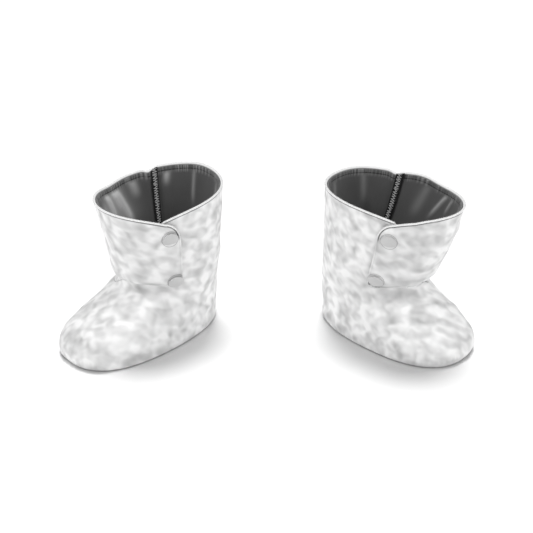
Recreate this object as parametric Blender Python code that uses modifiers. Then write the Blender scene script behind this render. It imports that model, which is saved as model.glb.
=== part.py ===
"""A pair of plush boot covers, lined in satin and closed at the side by a lapped flap with two snaps.

Lengths are in millimetres and angles in degrees until a mesh is made, in metres.
Each cover is drawn in a frame of its own: +X runs from the heel to the toe, +Y to the side that has
the closure, and +Z up from the floor. Angles run round the cover from the toe, 0, by way of the
closure side, 90, and the heel, 180, to the plain side, 270. An empty turns each cover into its place.
"""

import math
from collections import namedtuple

import bmesh
import bpy
import numpy as np
from mathutils import Matrix, Vector

MM = 0.001
COLLECTION_NAME = "pair_of_boot_covers"

# Cloth
PLUSH_WALL = 1.6
LINING_WALL = 1.0
SOLE_WALL = 2.0
ALLOWANCE_WALL = 1.0
GAP = 0.3
PLUSH_SEAM = 0.5
LINING_SEAM = 0.9
LINING_DEPTH = PLUSH_WALL + GAP
ALLOWANCE_DEPTH = LINING_DEPTH + LINING_WALL + GAP
SHELL = LINING_DEPTH + LINING_WALL

# Flap, lapped over the shaft on the closure side
ANKLE = 48.0
FLAP_ARCH = 16.0
FLAP_ARCH_ENDS = (-40.0, 30.0)
FLAP_DIP = 5.0
FLAP_DIP_ENDS = (38.0, 72.0)
LAP_ROOM = 1.8
LAP_STAND = SHELL + LAP_ROOM
STAND_ENDS = (-30.0, 45.0)
SEWN_ENDS = (6.0, 24.0)
DRAWN_IN_RISE = 9.0
FOOT_TUCK = 8.0
TUCK_ENDS = (24.0, 46.0)
UNDER_DROP = 3.5
UNDER_DROP_TURN = 3.0
CORNER_WIDTH = 11.5
CORNER_FALL = 16.0
LOW_CORNER_RISE = 9.0
HEM_DROP = 1.0

# Seam allowance on the plain side
ALLOWANCE_WIDTH = 7.0
ALLOWANCE_POKE = 1.6

# Bends: the radius of the shaft's long sides, and of the lining where the back caps of the snaps sit
SIDE_BEND = 55.0
SNAP_SEAT_BEND = 40.0

# Grid of the walls
SOLE_COLUMNS = 44
RING_STEP = 8.6
FOOT_LEVELS = (SOLE_WALL + GAP, 6.0, 12.0, 20.0, 30.0, 39.0, 44.5, 49.5, 56.0, 64.0, 73.0)
LEAST_ROW = 1.8
BACK_ROWS = 5
FLAP_ROWS = 7
CORNER_COLUMNS = 4
HEEL_SQUARENESS = 2.2

# Plastic snaps
SNAP_CAP_RADIUS = 7.2
SNAP_CAP_HEIGHT = 1.9
SNAP_BACK_RADIUS = 6.0
SNAP_BACK_HEIGHT = 1.4
SNAP_SOCKET_RADIUS = 4.0
SNAP_SOCKET_HEIGHT = 0.8
SNAP_SOCKET_LIFT = 0.4
SNAP_STEPS = 20

Section = namedtuple("Section", "height heel toe heel_half ball_half squareness")
Fold = namedtuple("Fold", "angle height spread rise depth")
Snap = namedtuple("Snap", "name angle height")
Cover = namedtuple(
    "Cover",
    "name hand heading pivot_x place_x place_y seam_angle crossing_angle edge_angle under_angle "
    "rim_height toe_tilt side_tilt toe_arch side_arch dip dip_spread snaps sections folds",
)

LEFT_SECTIONS = (
    Section(0.0, 1.9, 148.0, 35.8, 43.9, 2.5),
    Section(6.0, 0.8, 149.5, 36.3, 43.4, 2.5),
    Section(15.0, 0.1, 148.4, 35.4, 42.5, 2.5),
    Section(27.0, -0.9, 134.6, 35.0, 39.4, 2.4),
    Section(38.0, -0.3, 112.7, 35.3, 36.3, 2.2),
    Section(50.0, -0.1, 93.6, 36.2, 36.2, 2.1),
    Section(70.0, -0.8, 96.6, 39.2, 39.4, 2.0),
    Section(95.0, -1.7, 100.7, 42.5, 42.3, 2.0),
    Section(130.0, -3.3, 108.8, 45.5, 45.1, 2.0),
)
RIGHT_SECTIONS = (
    Section(0.0, -1.5, 139.0, 37.6, 42.6, 2.5),
    Section(6.0, -2.8, 140.8, 37.8, 42.6, 2.5),
    Section(15.0, -3.2, 138.7, 36.0, 41.0, 2.5),
    Section(27.0, -3.7, 128.8, 35.0, 38.2, 2.4),
    Section(38.0, -3.5, 111.4, 35.3, 35.8, 2.2),
    Section(50.0, -2.4, 95.3, 36.6, 36.0, 2.1),
    Section(70.0, -0.9, 104.0, 39.6, 39.5, 2.0),
    Section(95.0, 0.1, 114.4, 42.3, 42.5, 2.0),
    Section(130.0, 0.8, 123.6, 45.2, 46.2, 2.0),
)
LEFT_FOLDS = (
    Fold(-20.0, 51.0, 50.0, 5.0, -1.4),
    Fold(-15.0, 62.0, 40.0, 6.0, 0.9),
    Fold(165.0, 50.0, 45.0, 13.0, -0.8),
    Fold(60.0, 34.0, 40.0, 5.0, -0.9),
)
RIGHT_FOLDS = (
    Fold(-15.0, 50.0, 50.0, 5.0, -1.4),
    Fold(-25.0, 60.0, 40.0, 6.0, 0.9),
    Fold(190.0, 52.0, 45.0, 13.0, -0.8),
    Fold(75.0, 36.0, 40.0, 5.0, -0.9),
)
COVERS = (
    Cover(
        "left", 1.0, 220.7, 62.0, -96.7, -9.4, -114.0, 63.9, 75.3, 50.0,
        130.0, -0.3, 2.4, 1.2, 1.1, 11.5, 30.0,
        (Snap("top", 66.2, 106.2), Snap("low", 68.0, 64.3)), LEFT_SECTIONS, LEFT_FOLDS,
    ),
    Cover(
        "right", -1.0, -41.1, 62.0, 104.8, -10.0, -112.5, 61.8, 72.3, 46.0,
        129.5, 0.9, 3.2, 0.8, 0.7, 7.7, 22.4,
        (Snap("top", 62.3, 109.1), Snap("low", 64.4, 68.2)), RIGHT_SECTIONS, RIGHT_FOLDS,
    ),
)

# Colours as linear values, with roughness
FINISHES = {
    "white plush": ((0.86, 0.86, 0.87), 0.95),
    "grey satin": ((0.075, 0.075, 0.078), 0.42),
    "grey overlock": ((0.16, 0.16, 0.165), 0.8),
    "snap plastic": ((0.62, 0.62, 0.63), 0.35),
}


def smooth_step(value):
    """Ease from 0 to 1 as the value goes from 0 to 1."""
    value = np.clip(value, 0.0, 1.0)
    return value * value * (3.0 - 2.0 * value)


def read_sections(sections, height):
    """Read every column of a section table at some heights, by a cubic through its rows."""
    table = np.array(sections, float)
    levels = table[:, 0]
    slopes = np.gradient(table, levels, axis=0)
    height = np.clip(height, levels[0], levels[-1])
    row = np.clip(np.searchsorted(levels, height, side="right") - 1, 0, len(levels) - 2)
    step = levels[row + 1] - levels[row]
    part = ((height - levels[row]) / step)[..., None]
    step = step[..., None]
    values = (
        (1.0 + 2.0 * part) * (1.0 - part) ** 2 * table[row]
        + part * (1.0 - part) ** 2 * step * slopes[row]
        + part ** 2 * (3.0 - 2.0 * part) * table[row + 1]
        - part ** 2 * (1.0 - part) * step * slopes[row + 1]
    )
    return np.moveaxis(values[..., 1:], -1, 0)


def smooth_face(cover, angle, height):
    """Points of a cover's smooth outer face, from rounded level sections."""
    heel, toe, heel_half, ball_half, squareness = read_sections(cover.sections, height)
    turn = np.radians(angle)
    ahead = np.cos(turn)
    power = 2.0 / np.where(ahead > 0.0, squareness, HEEL_SQUARENESS)
    along = np.sign(ahead) * np.abs(ahead) ** power
    across = np.sign(np.sin(turn)) * np.abs(np.sin(turn)) ** power
    x = (heel + toe) / 2.0 + (toe - heel) / 2.0 * along
    half = heel_half + (ball_half - heel_half) * smooth_step((x - heel) / (toe - heel))
    return np.stack([x, half * across, np.broadcast_to(height, x.shape)], axis=-1)


def outward(cover, angle, height):
    """Unit vectors that point out of the smooth face."""
    nudge = 0.5
    around = smooth_face(cover, angle + nudge, height) - smooth_face(cover, angle - nudge, height)
    upward = smooth_face(cover, angle, height + nudge) - smooth_face(cover, angle, height - nudge)
    normal = np.cross(around, upward)
    return normal / np.linalg.norm(normal, axis=-1, keepdims=True)


def fold_height(cover, angle, height):
    """How far the soft folds lift the face at some points."""
    lift = np.zeros(angle.shape)
    for fold in cover.folds:
        around = ((angle - fold.angle + 180.0) % 360.0 - 180.0) / fold.spread
        upward = (height - fold.height) / fold.rise
        lift += fold.depth * np.exp(-around ** 2 - upward ** 2)
    return lift


def ease_between(angle, ends):
    """Ease from 0 to 1 between two angles."""
    return smooth_step((angle - ends[0]) / (ends[1] - ends[0]))


def flap_low(angle):
    """Height of the flap's lower edge: level at the ankle, arched over the instep, lower at its corner."""
    arch = FLAP_ARCH * ease_between(angle, FLAP_ARCH_ENDS)
    return ANKLE + arch - FLAP_DIP * ease_between(angle, FLAP_DIP_ENDS)


def flap_stand(angle, height):
    """How far the flap stands out over the shaft, drawn in where its lower edge is sewn to the foot."""
    sewn = 1.0 - ease_between(angle, SEWN_ENDS)
    drawn_in = sewn * np.exp((flap_low(angle) - height) / DRAWN_IN_RISE)
    return LAP_STAND * ease_between(angle, STAND_ENDS) * (1.0 - drawn_in)


def face_points(cover, angle, height, stand=0.0):
    """Points of the outer face with its folds, moved out by a stand-off."""
    angle, height = np.broadcast_arrays(np.array(angle, float), np.array(height, float))
    lift = fold_height(cover, angle, height) + stand
    return smooth_face(cover, angle, height) + outward(cover, angle, height) * lift[..., None]


def rim_height(cover, angle):
    """Height of the rim, with its dip where the flap crosses over."""
    turn = np.radians(angle)
    away = np.abs((angle - cover.crossing_angle + 180.0) % 360.0 - 180.0)
    return (
        cover.rim_height
        + cover.toe_tilt * np.cos(turn)
        + cover.side_tilt * np.sin(turn)
        + cover.toe_arch * np.cos(2.0 * turn)
        + cover.side_arch * np.sin(2.0 * turn)
        - cover.dip * np.exp(-away / cover.dip_spread)
    )


def degrees_for(length):
    """The turn that a length takes along the shaft's long sides."""
    return math.degrees(length / SIDE_BEND)


def even_angles(start, end):
    """Angles from start to end, both included, in near-equal steps."""
    count = max(1, round(abs(end - start) / RING_STEP))
    return np.linspace(start, end, count + 1)


def upper_grid(cover, seam_gap=PLUSH_SEAM, trim=0.0, base=FOOT_LEVELS[0]):
    """Rows of the foot, whole rings, and of the shaft's back, which run from the lap to the seam.

    Returns the angles, the heights by row and column, and which columns rise into the shaft. In front,
    the rows above the foot's top edge lie on that edge, where they add no faces.
    """
    seam = cover.seam_angle + 360.0 - degrees_for(seam_gap / 2.0)
    back = even_angles(cover.under_angle, seam)
    front = even_angles(cover.seam_angle + degrees_for(seam_gap / 2.0), TUCK_ENDS[0])
    lap = even_angles(TUCK_ENDS[0], cover.under_angle)[1:-1]
    angles = np.concatenate([back, front + 360.0, lap + 360.0])
    rises = np.arange(len(angles)) < len(back)
    turned = (angles - cover.seam_angle) % 360.0 + cover.seam_angle
    foot_top = flap_low(turned) - GAP + (FOOT_TUCK + GAP) * ease_between(turned, TUCK_ENDS)
    foot_top = np.where(rises, FOOT_LEVELS[-1], foot_top)
    rows = []
    for level in FOOT_LEVELS:
        level = max(level, base)
        rows.append(np.where(level > foot_top - LEAST_ROW, foot_top, level))
    hidden = smooth_step((cover.crossing_angle - turned) / UNDER_DROP_TURN) * UNDER_DROP
    top = np.where(rises, rim_height(cover, turned) - hidden - trim, foot_top)
    for row in range(1, BACK_ROWS + 1):
        rows.append(foot_top + (top - foot_top) * row / BACK_ROWS)
    return angles, np.array(rows), rises


def flap_grid(cover, seam_gap=PLUSH_SEAM, trim=0.0):
    """Angles and heights of the flap, from the seam round the front to its rounded free corners."""
    start = cover.seam_angle + degrees_for(seam_gap / 2.0)
    corner_turn = degrees_for(CORNER_WIDTH)
    corner_start = cover.edge_angle - corner_turn
    turns = np.linspace(0.0, math.pi / 2.0, CORNER_COLUMNS + 1)[1:]
    corner = corner_start + corner_turn * np.sin(turns)
    angles = np.concatenate([even_angles(start, corner_start), corner])
    into_corner = np.clip((angles - corner_start) / corner_turn, 0.0, 1.0)
    rounding = 1.0 - np.sqrt(1.0 - into_corner ** 2)
    top = rim_height(cover, np.minimum(angles, cover.crossing_angle)) - CORNER_FALL * rounding - trim
    parts = np.linspace(0.0, 1.0, FLAP_ROWS + 1)[:, None]
    low = flap_low(angles) + LOW_CORNER_RISE * rounding
    return angles, low + (top - low) * parts


def new_object(name, mesh, finish, parent):
    """Put a mesh in the collection as a named object with its own material."""
    for polygon in mesh.polygons:
        polygon.use_smooth = True
    material = bpy.data.materials.new(name + " " + finish)
    material.use_nodes = True
    colour, roughness = FINISHES[finish]
    shader = material.node_tree.nodes["Principled BSDF"]
    shader.inputs["Base Color"].default_value = (*colour, 1.0)
    shader.inputs["Roughness"].default_value = roughness
    mesh.materials.append(material)
    piece = bpy.data.objects.new(name, mesh)
    bpy.data.collections[COLLECTION_NAME].objects.link(piece)
    piece.parent = parent
    return piece


def add_wall(piece, thickness, depth=0.0):
    """Give an open sheet a wall that lies a depth below its face."""
    solidify = piece.modifiers.new("cloth wall", "SOLIDIFY")
    solidify.thickness = thickness * MM
    solidify.offset = -1.0 - 2.0 * depth / thickness
    solidify.use_even_offset = True


def sheet_object(name, cover, points, finish, parent, rises=None):
    """Join a grid of points, rows from the hem up, into an open sheet that faces out.

    Where rises is given the columns close into rings. It marks the columns that go on up into the shaft,
    and a column that ends below them is joined to them only as far as it goes.
    """
    mesh = bpy.data.meshes.new(name)
    shape = bmesh.new()
    row_count, column_count = points.shape[:2]
    corners = {}

    def corner(row, column):
        """Make the grid's corner once, or take the one below where the row has no height."""
        column %= column_count
        if (row, column) not in corners:
            if row and np.allclose(points[row, column], points[row - 1, column], atol=1e-6):
                corners[row, column] = corner(row - 1, column)
            else:
                x, y, z = points[row, column]
                corners[row, column] = shape.verts.new((x * MM, y * MM * cover.hand, z * MM))
        return corners[row, column]

    for row in range(row_count - 1):
        for column in range(column_count if rises is not None else column_count - 1):
            loop = [
                corner(row, column), corner(row, column + 1),
                corner(row + 1, column + 1), corner(row + 1, column),
            ]
            loop = list(dict.fromkeys(loop))
            at_step = rises is not None and rises[column] != rises[(column + 1) % column_count]
            if len(loop) > (3 if at_step else 2):
                shape.faces.new(loop if cover.hand > 0 else loop[::-1])
    shape.to_mesh(mesh)
    shape.free()
    return new_object(name, mesh, finish, parent)


def make_upper(cover, parent):
    """The foot and the shaft's back in one piece, and its lining."""
    lining_base = SOLE_WALL + LINING_WALL + 3.0 * GAP
    for suffix, finish, wall, depth, seam_gap, trim, base in (
        ("upper", "white plush", PLUSH_WALL, 0.0, PLUSH_SEAM, 0.0, FOOT_LEVELS[0]),
        ("upper_lining", "grey satin", LINING_WALL, LINING_DEPTH, LINING_SEAM, HEM_DROP, lining_base),
    ):
        angles, heights, rises = upper_grid(cover, seam_gap, trim, base)
        points = face_points(cover, angles, heights)
        piece = sheet_object(cover.name + "_" + suffix, cover, points, finish, parent, rises)
        add_wall(piece, wall, depth)


def make_flap(cover, parent):
    """The front of the shaft, lapped over the back on the closure side, and its lining."""
    for suffix, finish, wall, depth, seam_gap, trim in (
        ("flap", "white plush", PLUSH_WALL, 0.0, PLUSH_SEAM, 0.0),
        ("flap_lining", "grey satin", LINING_WALL, LINING_DEPTH, LINING_SEAM, HEM_DROP),
    ):
        angles, heights = flap_grid(cover, seam_gap, trim)
        points = face_points(cover, angles, heights, flap_stand(angles, heights))
        piece = sheet_object(cover.name + "_" + suffix, cover, points, finish, parent)
        add_wall(piece, wall, depth)


def make_sole(cover, parent):
    """The flat sole and the sole of the lining, each cut to the ring that it is sewn to."""
    angles = np.arange(0.0, 360.0, 360.0 / SOLE_COLUMNS)
    for suffix, finish, wall, inset, top in (
        ("sole", "white plush", SOLE_WALL, 0.0, SOLE_WALL),
        ("sole_lining", "grey satin", LINING_WALL, LINING_DEPTH + GAP, SOLE_WALL + GAP + LINING_WALL),
    ):
        ring = face_points(cover, angles, FOOT_LEVELS[0], -inset)
        mesh = bpy.data.meshes.new(cover.name + "_" + suffix)
        shape = bmesh.new()
        corners = [shape.verts.new((x * MM, y * MM * cover.hand, top * MM)) for x, y, z in ring]
        shape.faces.new(corners if cover.hand > 0 else corners[::-1])
        shape.to_mesh(mesh)
        shape.free()
        piece = new_object(cover.name + "_" + suffix, mesh, finish, parent)
        add_wall(piece, wall)


def make_allowance(cover, parent):
    """The overlocked seam allowance that stands inside the plain side, from the ankle to the rim."""
    half = degrees_for(ALLOWANCE_WIDTH / 2.0)
    angles = cover.seam_angle + np.array([-half, 0.0, half])
    top = rim_height(cover, angles) + ALLOWANCE_POKE
    parts = np.linspace(0.0, 1.0, FLAP_ROWS + 1)[:, None]
    points = face_points(cover, angles, ANKLE + (top - ANKLE) * parts)
    piece = sheet_object(cover.name + "_seam_allowance", cover, points, "grey overlock", parent)
    add_wall(piece, ALLOWANCE_WALL, ALLOWANCE_DEPTH)


def turned_object(name, profile, parent):
    """Turn a profile, from the top of its axis down its outer side, into a round solid."""
    mesh = bpy.data.meshes.new(name)
    points = [(radius * MM, 0.0, height * MM) for radius, height in profile]
    mesh.from_pydata(points, [(index, index + 1) for index in range(len(points) - 1)], [])
    piece = new_object(name, mesh, "snap plastic", parent)
    screw = piece.modifiers.new("turning", "SCREW")
    screw.steps = SNAP_STEPS
    screw.render_steps = SNAP_STEPS
    screw.use_merge_vertices = True
    screw.merge_threshold = 0.00005
    return piece


def dome_profile(radius, height):
    """A shallow dome with a rounded edge and a flat back."""
    return (
        (0.0, height), (radius * 0.55, height * 0.92), (radius * 0.88, height * 0.66),
        (radius, height * 0.3), (radius * 0.97, 0.0), (0.0, 0.0),
    )


def seat(piece, cover, snap, stand, facing):
    """Stand a turned piece on the wall at its snap's place, facing out (1) or in (-1)."""
    turn = degrees_for(SNAP_CAP_RADIUS)
    lift = SNAP_CAP_RADIUS
    x, y, z = face_points(cover, snap.angle, snap.height, stand)
    before, after = face_points(cover, [snap.angle - turn, snap.angle + turn], snap.height)
    below, above = face_points(cover, snap.angle, [snap.height - lift, snap.height + lift])
    normal = np.cross(after - before, above - below) * facing
    axis = Vector((normal[0], normal[1] * cover.hand, normal[2])).normalized()
    place = Matrix.Translation((x * MM, y * MM * cover.hand, z * MM))
    piece.matrix_local = place @ axis.to_track_quat("Z", "Y").to_matrix().to_4x4()


def make_snaps(cover, parent):
    """Two closed snaps, each a cap on the flap, a socket in the lap and a back cap inside."""
    for snap in cover.snaps:
        name = cover.name + "_" + snap.name + "_snap_"
        cap = turned_object(name + "cap", dome_profile(SNAP_CAP_RADIUS, SNAP_CAP_HEIGHT), parent)
        seat(cap, cover, snap, LAP_STAND + GAP, 1.0)
        socket_profile = (
            (0.0, SNAP_SOCKET_HEIGHT), (SNAP_SOCKET_RADIUS, SNAP_SOCKET_HEIGHT),
            (SNAP_SOCKET_RADIUS, 0.0), (0.0, 0.0),
        )
        socket = turned_object(name + "socket", socket_profile, parent)
        seat(socket, cover, snap, SNAP_SOCKET_LIFT, 1.0)
        back = turned_object(name + "back", dome_profile(SNAP_BACK_RADIUS, SNAP_BACK_HEIGHT), parent)
        hollow = SNAP_BACK_RADIUS ** 2 / (2.0 * SNAP_SEAT_BEND)
        seat(back, cover, snap, -SHELL - GAP - hollow, -1.0)


def place_cover(cover):
    """Make the empty that turns a cover's own frame into its place in the pair."""
    empty = bpy.data.objects.new(cover.name + "_cover", None)
    bpy.data.collections[COLLECTION_NAME].objects.link(empty)
    turn = math.radians(cover.heading)
    empty.rotation_euler = (0.0, 0.0, turn)
    empty.location = (
        (cover.place_x - cover.pivot_x * math.cos(turn)) * MM,
        (cover.place_y - cover.pivot_x * math.sin(turn)) * MM,
        0.0,
    )
    return empty


def centre_pair(parents):
    """Move both covers so that the middle of the pair's outline is the origin."""
    bpy.context.view_layer.update()
    corners = [
        piece.matrix_world @ vertex.co
        for piece in bpy.data.collections[COLLECTION_NAME].objects if piece.type == "MESH"
        for vertex in piece.data.vertices
    ]
    for axis in (0, 1):
        places = [corner[axis] for corner in corners]
        middle = (min(places) + max(places)) / 2.0
        for parent in parents:
            parent.location[axis] -= middle
    bpy.context.view_layer.update()


def main():
    """Clear the scene and build both covers."""
    for old in list(bpy.data.objects):
        bpy.data.objects.remove(old, do_unlink=True)
    collection = bpy.data.collections.new(COLLECTION_NAME)
    bpy.context.scene.collection.children.link(collection)
    parents = []
    for cover in COVERS:
        parent = place_cover(cover)
        parents.append(parent)
        make_upper(cover, parent)
        make_flap(cover, parent)
        make_sole(cover, parent)
        make_allowance(cover, parent)
        make_snaps(cover, parent)
    centre_pair(parents)


main()
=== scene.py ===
"""Looks of a pair of boot covers: white plush lined with grey satin, closed by a lapped flap and snaps.

Lengths are in millimetres and angles in degrees until a mesh is made, in metres. Each cover is drawn
in a frame of its own: +X runs from the heel to the toe, +Y to the side that has the closure, and +Z up
from the floor. Angles run round the cover from the toe, 0, by way of the closure side, 90, and the
heel, 180, to the plain side, 270.
"""

import sys

import itertools
import logging
import math
from collections.abc import Callable
from dataclasses import astuple, dataclass
from enum import Enum

import bpy
import numpy as np
from mathutils import Matrix, Vector
from mathutils.kdtree import KDTree


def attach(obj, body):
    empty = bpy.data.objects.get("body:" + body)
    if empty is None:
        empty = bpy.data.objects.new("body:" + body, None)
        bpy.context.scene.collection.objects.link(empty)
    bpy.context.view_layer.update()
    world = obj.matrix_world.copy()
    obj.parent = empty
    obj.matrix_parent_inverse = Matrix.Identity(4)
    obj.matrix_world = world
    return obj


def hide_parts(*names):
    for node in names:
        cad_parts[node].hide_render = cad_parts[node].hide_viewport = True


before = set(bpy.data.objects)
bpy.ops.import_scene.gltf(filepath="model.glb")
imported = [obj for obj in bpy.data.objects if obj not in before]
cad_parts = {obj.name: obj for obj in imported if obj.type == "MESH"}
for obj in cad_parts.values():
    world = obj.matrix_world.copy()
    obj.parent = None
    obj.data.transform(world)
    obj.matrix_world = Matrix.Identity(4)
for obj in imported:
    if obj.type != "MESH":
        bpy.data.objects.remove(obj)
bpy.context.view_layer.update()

Array = np.ndarray
Pair = tuple[float, float]
Triple = tuple[float, float, float]
Faces = list[tuple[int, ...]]
Object = bpy.types.Object
Material = bpy.types.Material
Socket = bpy.types.NodeSocket
Inputs = dict[str | int, object]
Surface = Callable[[Array, Array], Array]
# A path's points in a cover's frame, mm, and the directions out of the cloth there
Path = tuple[Array, Array]
MM = 0.001
BODY = "root"
log = logging.getLogger("boot covers")


def smooth_step(value: Array) -> Array:
    """Ease from 0 to 1 as the value goes from 0 to 1."""
    value = np.clip(value, 0.0, 1.0)
    return value * value * (3.0 - 2.0 * value)


def ease_between(angle: Array, ends: Pair) -> Array:
    """Ease from 0 to 1 between two angles."""
    return smooth_step((angle - ends[0]) / (ends[1] - ends[0]))


def bell(away: Array, width: float) -> Array:
    """A soft bump of height 1 that falls off over its width."""
    return np.exp(-((away / width) ** 2))


def flat_bell(away: Array, width: float) -> Array:
    """A bump of height 1 with a broader top and steeper sides."""
    return np.exp(-((away / width) ** 4))


def turn_from(start: float, angle: Array) -> Array:
    """The turn from one angle to others, from -180 to 180."""
    return (angle - start + 180.0) % 360.0 - 180.0


def tilted_axes(around: Array, upward: Array, tilt: float) -> tuple[Array, Array]:
    """Measure places on the cloth in axes that are tilted from level and upright.

    Args:
        around: lengths round the cover, mm.
        upward: heights, mm.
        tilt: the turn of the axes, degrees.
    Returns:
        Lengths along the first axis, which is level without a tilt, and along the second one.
    """
    turn = math.radians(tilt)
    along = around * math.cos(turn) + upward * math.sin(turn)
    return along, upward * math.cos(turn) - around * math.sin(turn)


class Hand(Enum):
    """Which way round a cover's frame its closure side lies."""

    LEFT = 1.0
    RIGHT = -1.0


class Slot(Enum):
    """Material slots of the record."""

    PLUSH = "plush"
    LINING = "lining"
    OVERLOCK = "overlock"
    SNAP = "snap"


@dataclass(frozen=True)
class Section:
    """A level section of a cover's outer face, in mm, with the power of its rounding."""

    height: float
    heel: float
    toe: float
    heel_half: float
    ball_half: float
    squareness: float


@dataclass(frozen=True)
class Fold:
    """A broad soft swell (depth above 0) or trough (below 0) that lies level round the cover."""

    angle: float
    height: float
    spread: float
    rise: float
    depth: float

    def lift(self, angle: Array, height: Array) -> Array:
        """How far it lifts the face at some angles and heights, mm."""
        around = turn_from(self.angle, angle)
        return self.depth * bell(around, self.spread) * bell(height - self.height, self.rise)


@dataclass(frozen=True)
class Crease:
    """A soft trough with a low ridge on each side. Its tilt turns it from level."""

    angle: float
    height: float
    length: float
    width: float
    tilt: float
    depth: float
    ridge_away: float = 1.9
    ridge_width: float = 0.9
    ridge_height: float = 0.4

    def lift(self, angle: Array, height: Array) -> Array:
        """How far it lifts the face.

        Args:
            angle: angles.
            height: heights, mm.
        Returns:
            The lift of each point, mm.
        """
        around = np.radians(turn_from(self.angle, angle)) * CLOTH.side_bend
        along, across = tilted_axes(around, height - self.height, self.tilt)
        ridges = bell(np.abs(across) - self.ridge_away * self.width, self.ridge_width * self.width)
        trough = bell(across, self.width)
        return self.depth * flat_bell(along, self.length) * (self.ridge_height * ridges - trough)


@dataclass(frozen=True)
class SatinFold:
    """A slack fold of the lining that stands in, with painted sheen along it. Its tilt turns it from
    upright.
    """

    angle: float
    height: float
    length: float
    width: float
    tilt: float
    rise: float

    def lift(self, angle: Array, height: Array) -> Array:
        """How far it stands in.

        Args:
            angle: angles.
            height: heights, mm.
        Returns:
            The lift of each point, mm.
        """
        around = np.radians(turn_from(self.angle, angle)) * CLOTH.lining_bend
        across, along = tilted_axes(around, height - self.height, self.tilt)
        return self.rise * flat_bell(along, self.length) * bell(across, self.width)


@dataclass(frozen=True)
class SnapPlace:
    """Where a snap sits on the flap."""

    name: str
    angle: float
    height: float


@dataclass(frozen=True)
class Rim:
    """The height of a cover's rim: its tilts and arches round the cover and the dip at the crossing."""

    height: float
    toe_tilt: float
    side_tilt: float
    toe_arch: float
    side_arch: float
    dip: float
    dip_spread: float


@dataclass(frozen=True)
class RimWave:
    """A place where the cloth of the rim stands higher or sags: its angle, half width and rise."""

    angle: float
    spread: float
    rise: float


@dataclass(frozen=True)
class Cloth:
    """Walls, gaps, edges and lap of the cloth, in mm and degrees.

    The bends are the radii that lengths round the shaft are measured on.
    """

    plush_wall: float = 1.6
    lining_wall: float = 1.0
    sole_wall: float = 2.0
    allowance_wall: float = 1.0
    gap: float = 0.3
    hem_drop: float = 1.0
    side_bend: float = 55.0
    lining_bend: float = 47.0
    flap_bend: float = 50.0
    ankle: float = 48.0
    flap_arch: float = 16.0
    flap_arch_ends: Pair = (-40.0, 30.0)
    flap_dip: float = 5.0
    flap_dip_ends: Pair = (38.0, 72.0)
    lap_stand: float = 4.7
    stand_ends: Pair = (-30.0, 45.0)
    sewn_ends: Pair = (6.0, 24.0)
    loose_angle: float = 32.0
    lap_ends: Pair = (60.0, 110.0)
    drawn_in_rise: float = 9.0
    foot_tuck: float = 8.0
    tuck_ends: Pair = (24.0, 46.0)
    under_drop: float = 3.5
    under_drop_turn: float = 3.0
    corner_width: float = 11.5
    corner_fall: float = 16.0
    low_corner_rise: float = 9.0
    heel_squareness: float = 2.2
    cap_radius: float = 6.7
    cap_lean: float = 15.0
    girth_height: float = 15.0
    run_under: float = 6.0

    @property
    def lining_depth(self) -> float:
        """How far the lining's outer face lies under the plush face."""
        return self.plush_wall + self.gap

    @property
    def allowance_depth(self) -> float:
        """How far the seam allowance's outer face lies under the plush face."""
        return self.lining_depth + self.lining_wall + self.gap

    @property
    def foot_base(self) -> float:
        """Height of the upper's lower edge, sewn to the sole."""
        return self.sole_wall + self.gap

    @property
    def plush_base(self) -> float:
        """Height of the plush upper's lower edge, which laps the sole's edge."""
        return 2.0 * self.gap

    @property
    def lining_base(self) -> float:
        """Height of the lining's lower edge."""
        return self.sole_wall + self.lining_wall + 3.0 * self.gap

    def degrees_for(self, length: float) -> float:
        """The turn that a length takes along the shaft's long sides."""
        return math.degrees(length / self.side_bend)

    @property
    def corner_turn(self) -> float:
        """The turn that the rounding of the flap's corners takes."""
        return self.degrees_for(self.corner_width)


CLOTH = Cloth()


def directions_out(surface: Surface, angles: Array, heights: Array) -> Array:
    """Unit vectors that point out of a surface.

    Args:
        surface: gives points, mm, for angles and heights.
        angles: angles.
        heights: heights, mm.
    Returns:
        A vector for each pair of an angle and a height.
    """
    nudge = 0.5
    around = surface(angles + nudge, heights) - surface(angles - nudge, heights)
    upward = surface(angles, heights + nudge) - surface(angles, heights - nudge)
    normal = np.cross(around, upward)
    return normal / np.linalg.norm(normal, axis=-1, keepdims=True)


class SoftNoise:
    """Smooth noise from -1 to 1, the same in each run."""

    def __init__(self, seed: int, cells: int = 24) -> None:
        """Draw the values of its lattice."""
        self.lattice = np.random.default_rng(seed).uniform(-1.0, 1.0, (cells,) * 3)

    def at(self, places: Array, size: float) -> Array:
        """Read the noise.

        Args:
            places: points in mm, with shape (..., 3).
            size: width of a swell in mm.
        Returns:
            The values, with shape (...).
        """
        scaled = places / size
        low = np.floor(scaled).astype(int)
        part = smooth_step(scaled - low)
        total = np.zeros(places.shape[:-1])
        for corner in itertools.product((0, 1), repeat=3):
            weight = np.prod(np.where(corner, part, 1.0 - part), axis=-1)
            x, y, z = np.moveaxis((low + corner) % len(self.lattice), -1, 0)
            total += weight * self.lattice[x, y, z]
        return total

    def along(self, length: Array, size: float) -> Array:
        """Read the noise along a line, at lengths in mm."""
        return self.at(np.stack([length, 0.0 * length, 0.0 * length], axis=-1), size)


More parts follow.
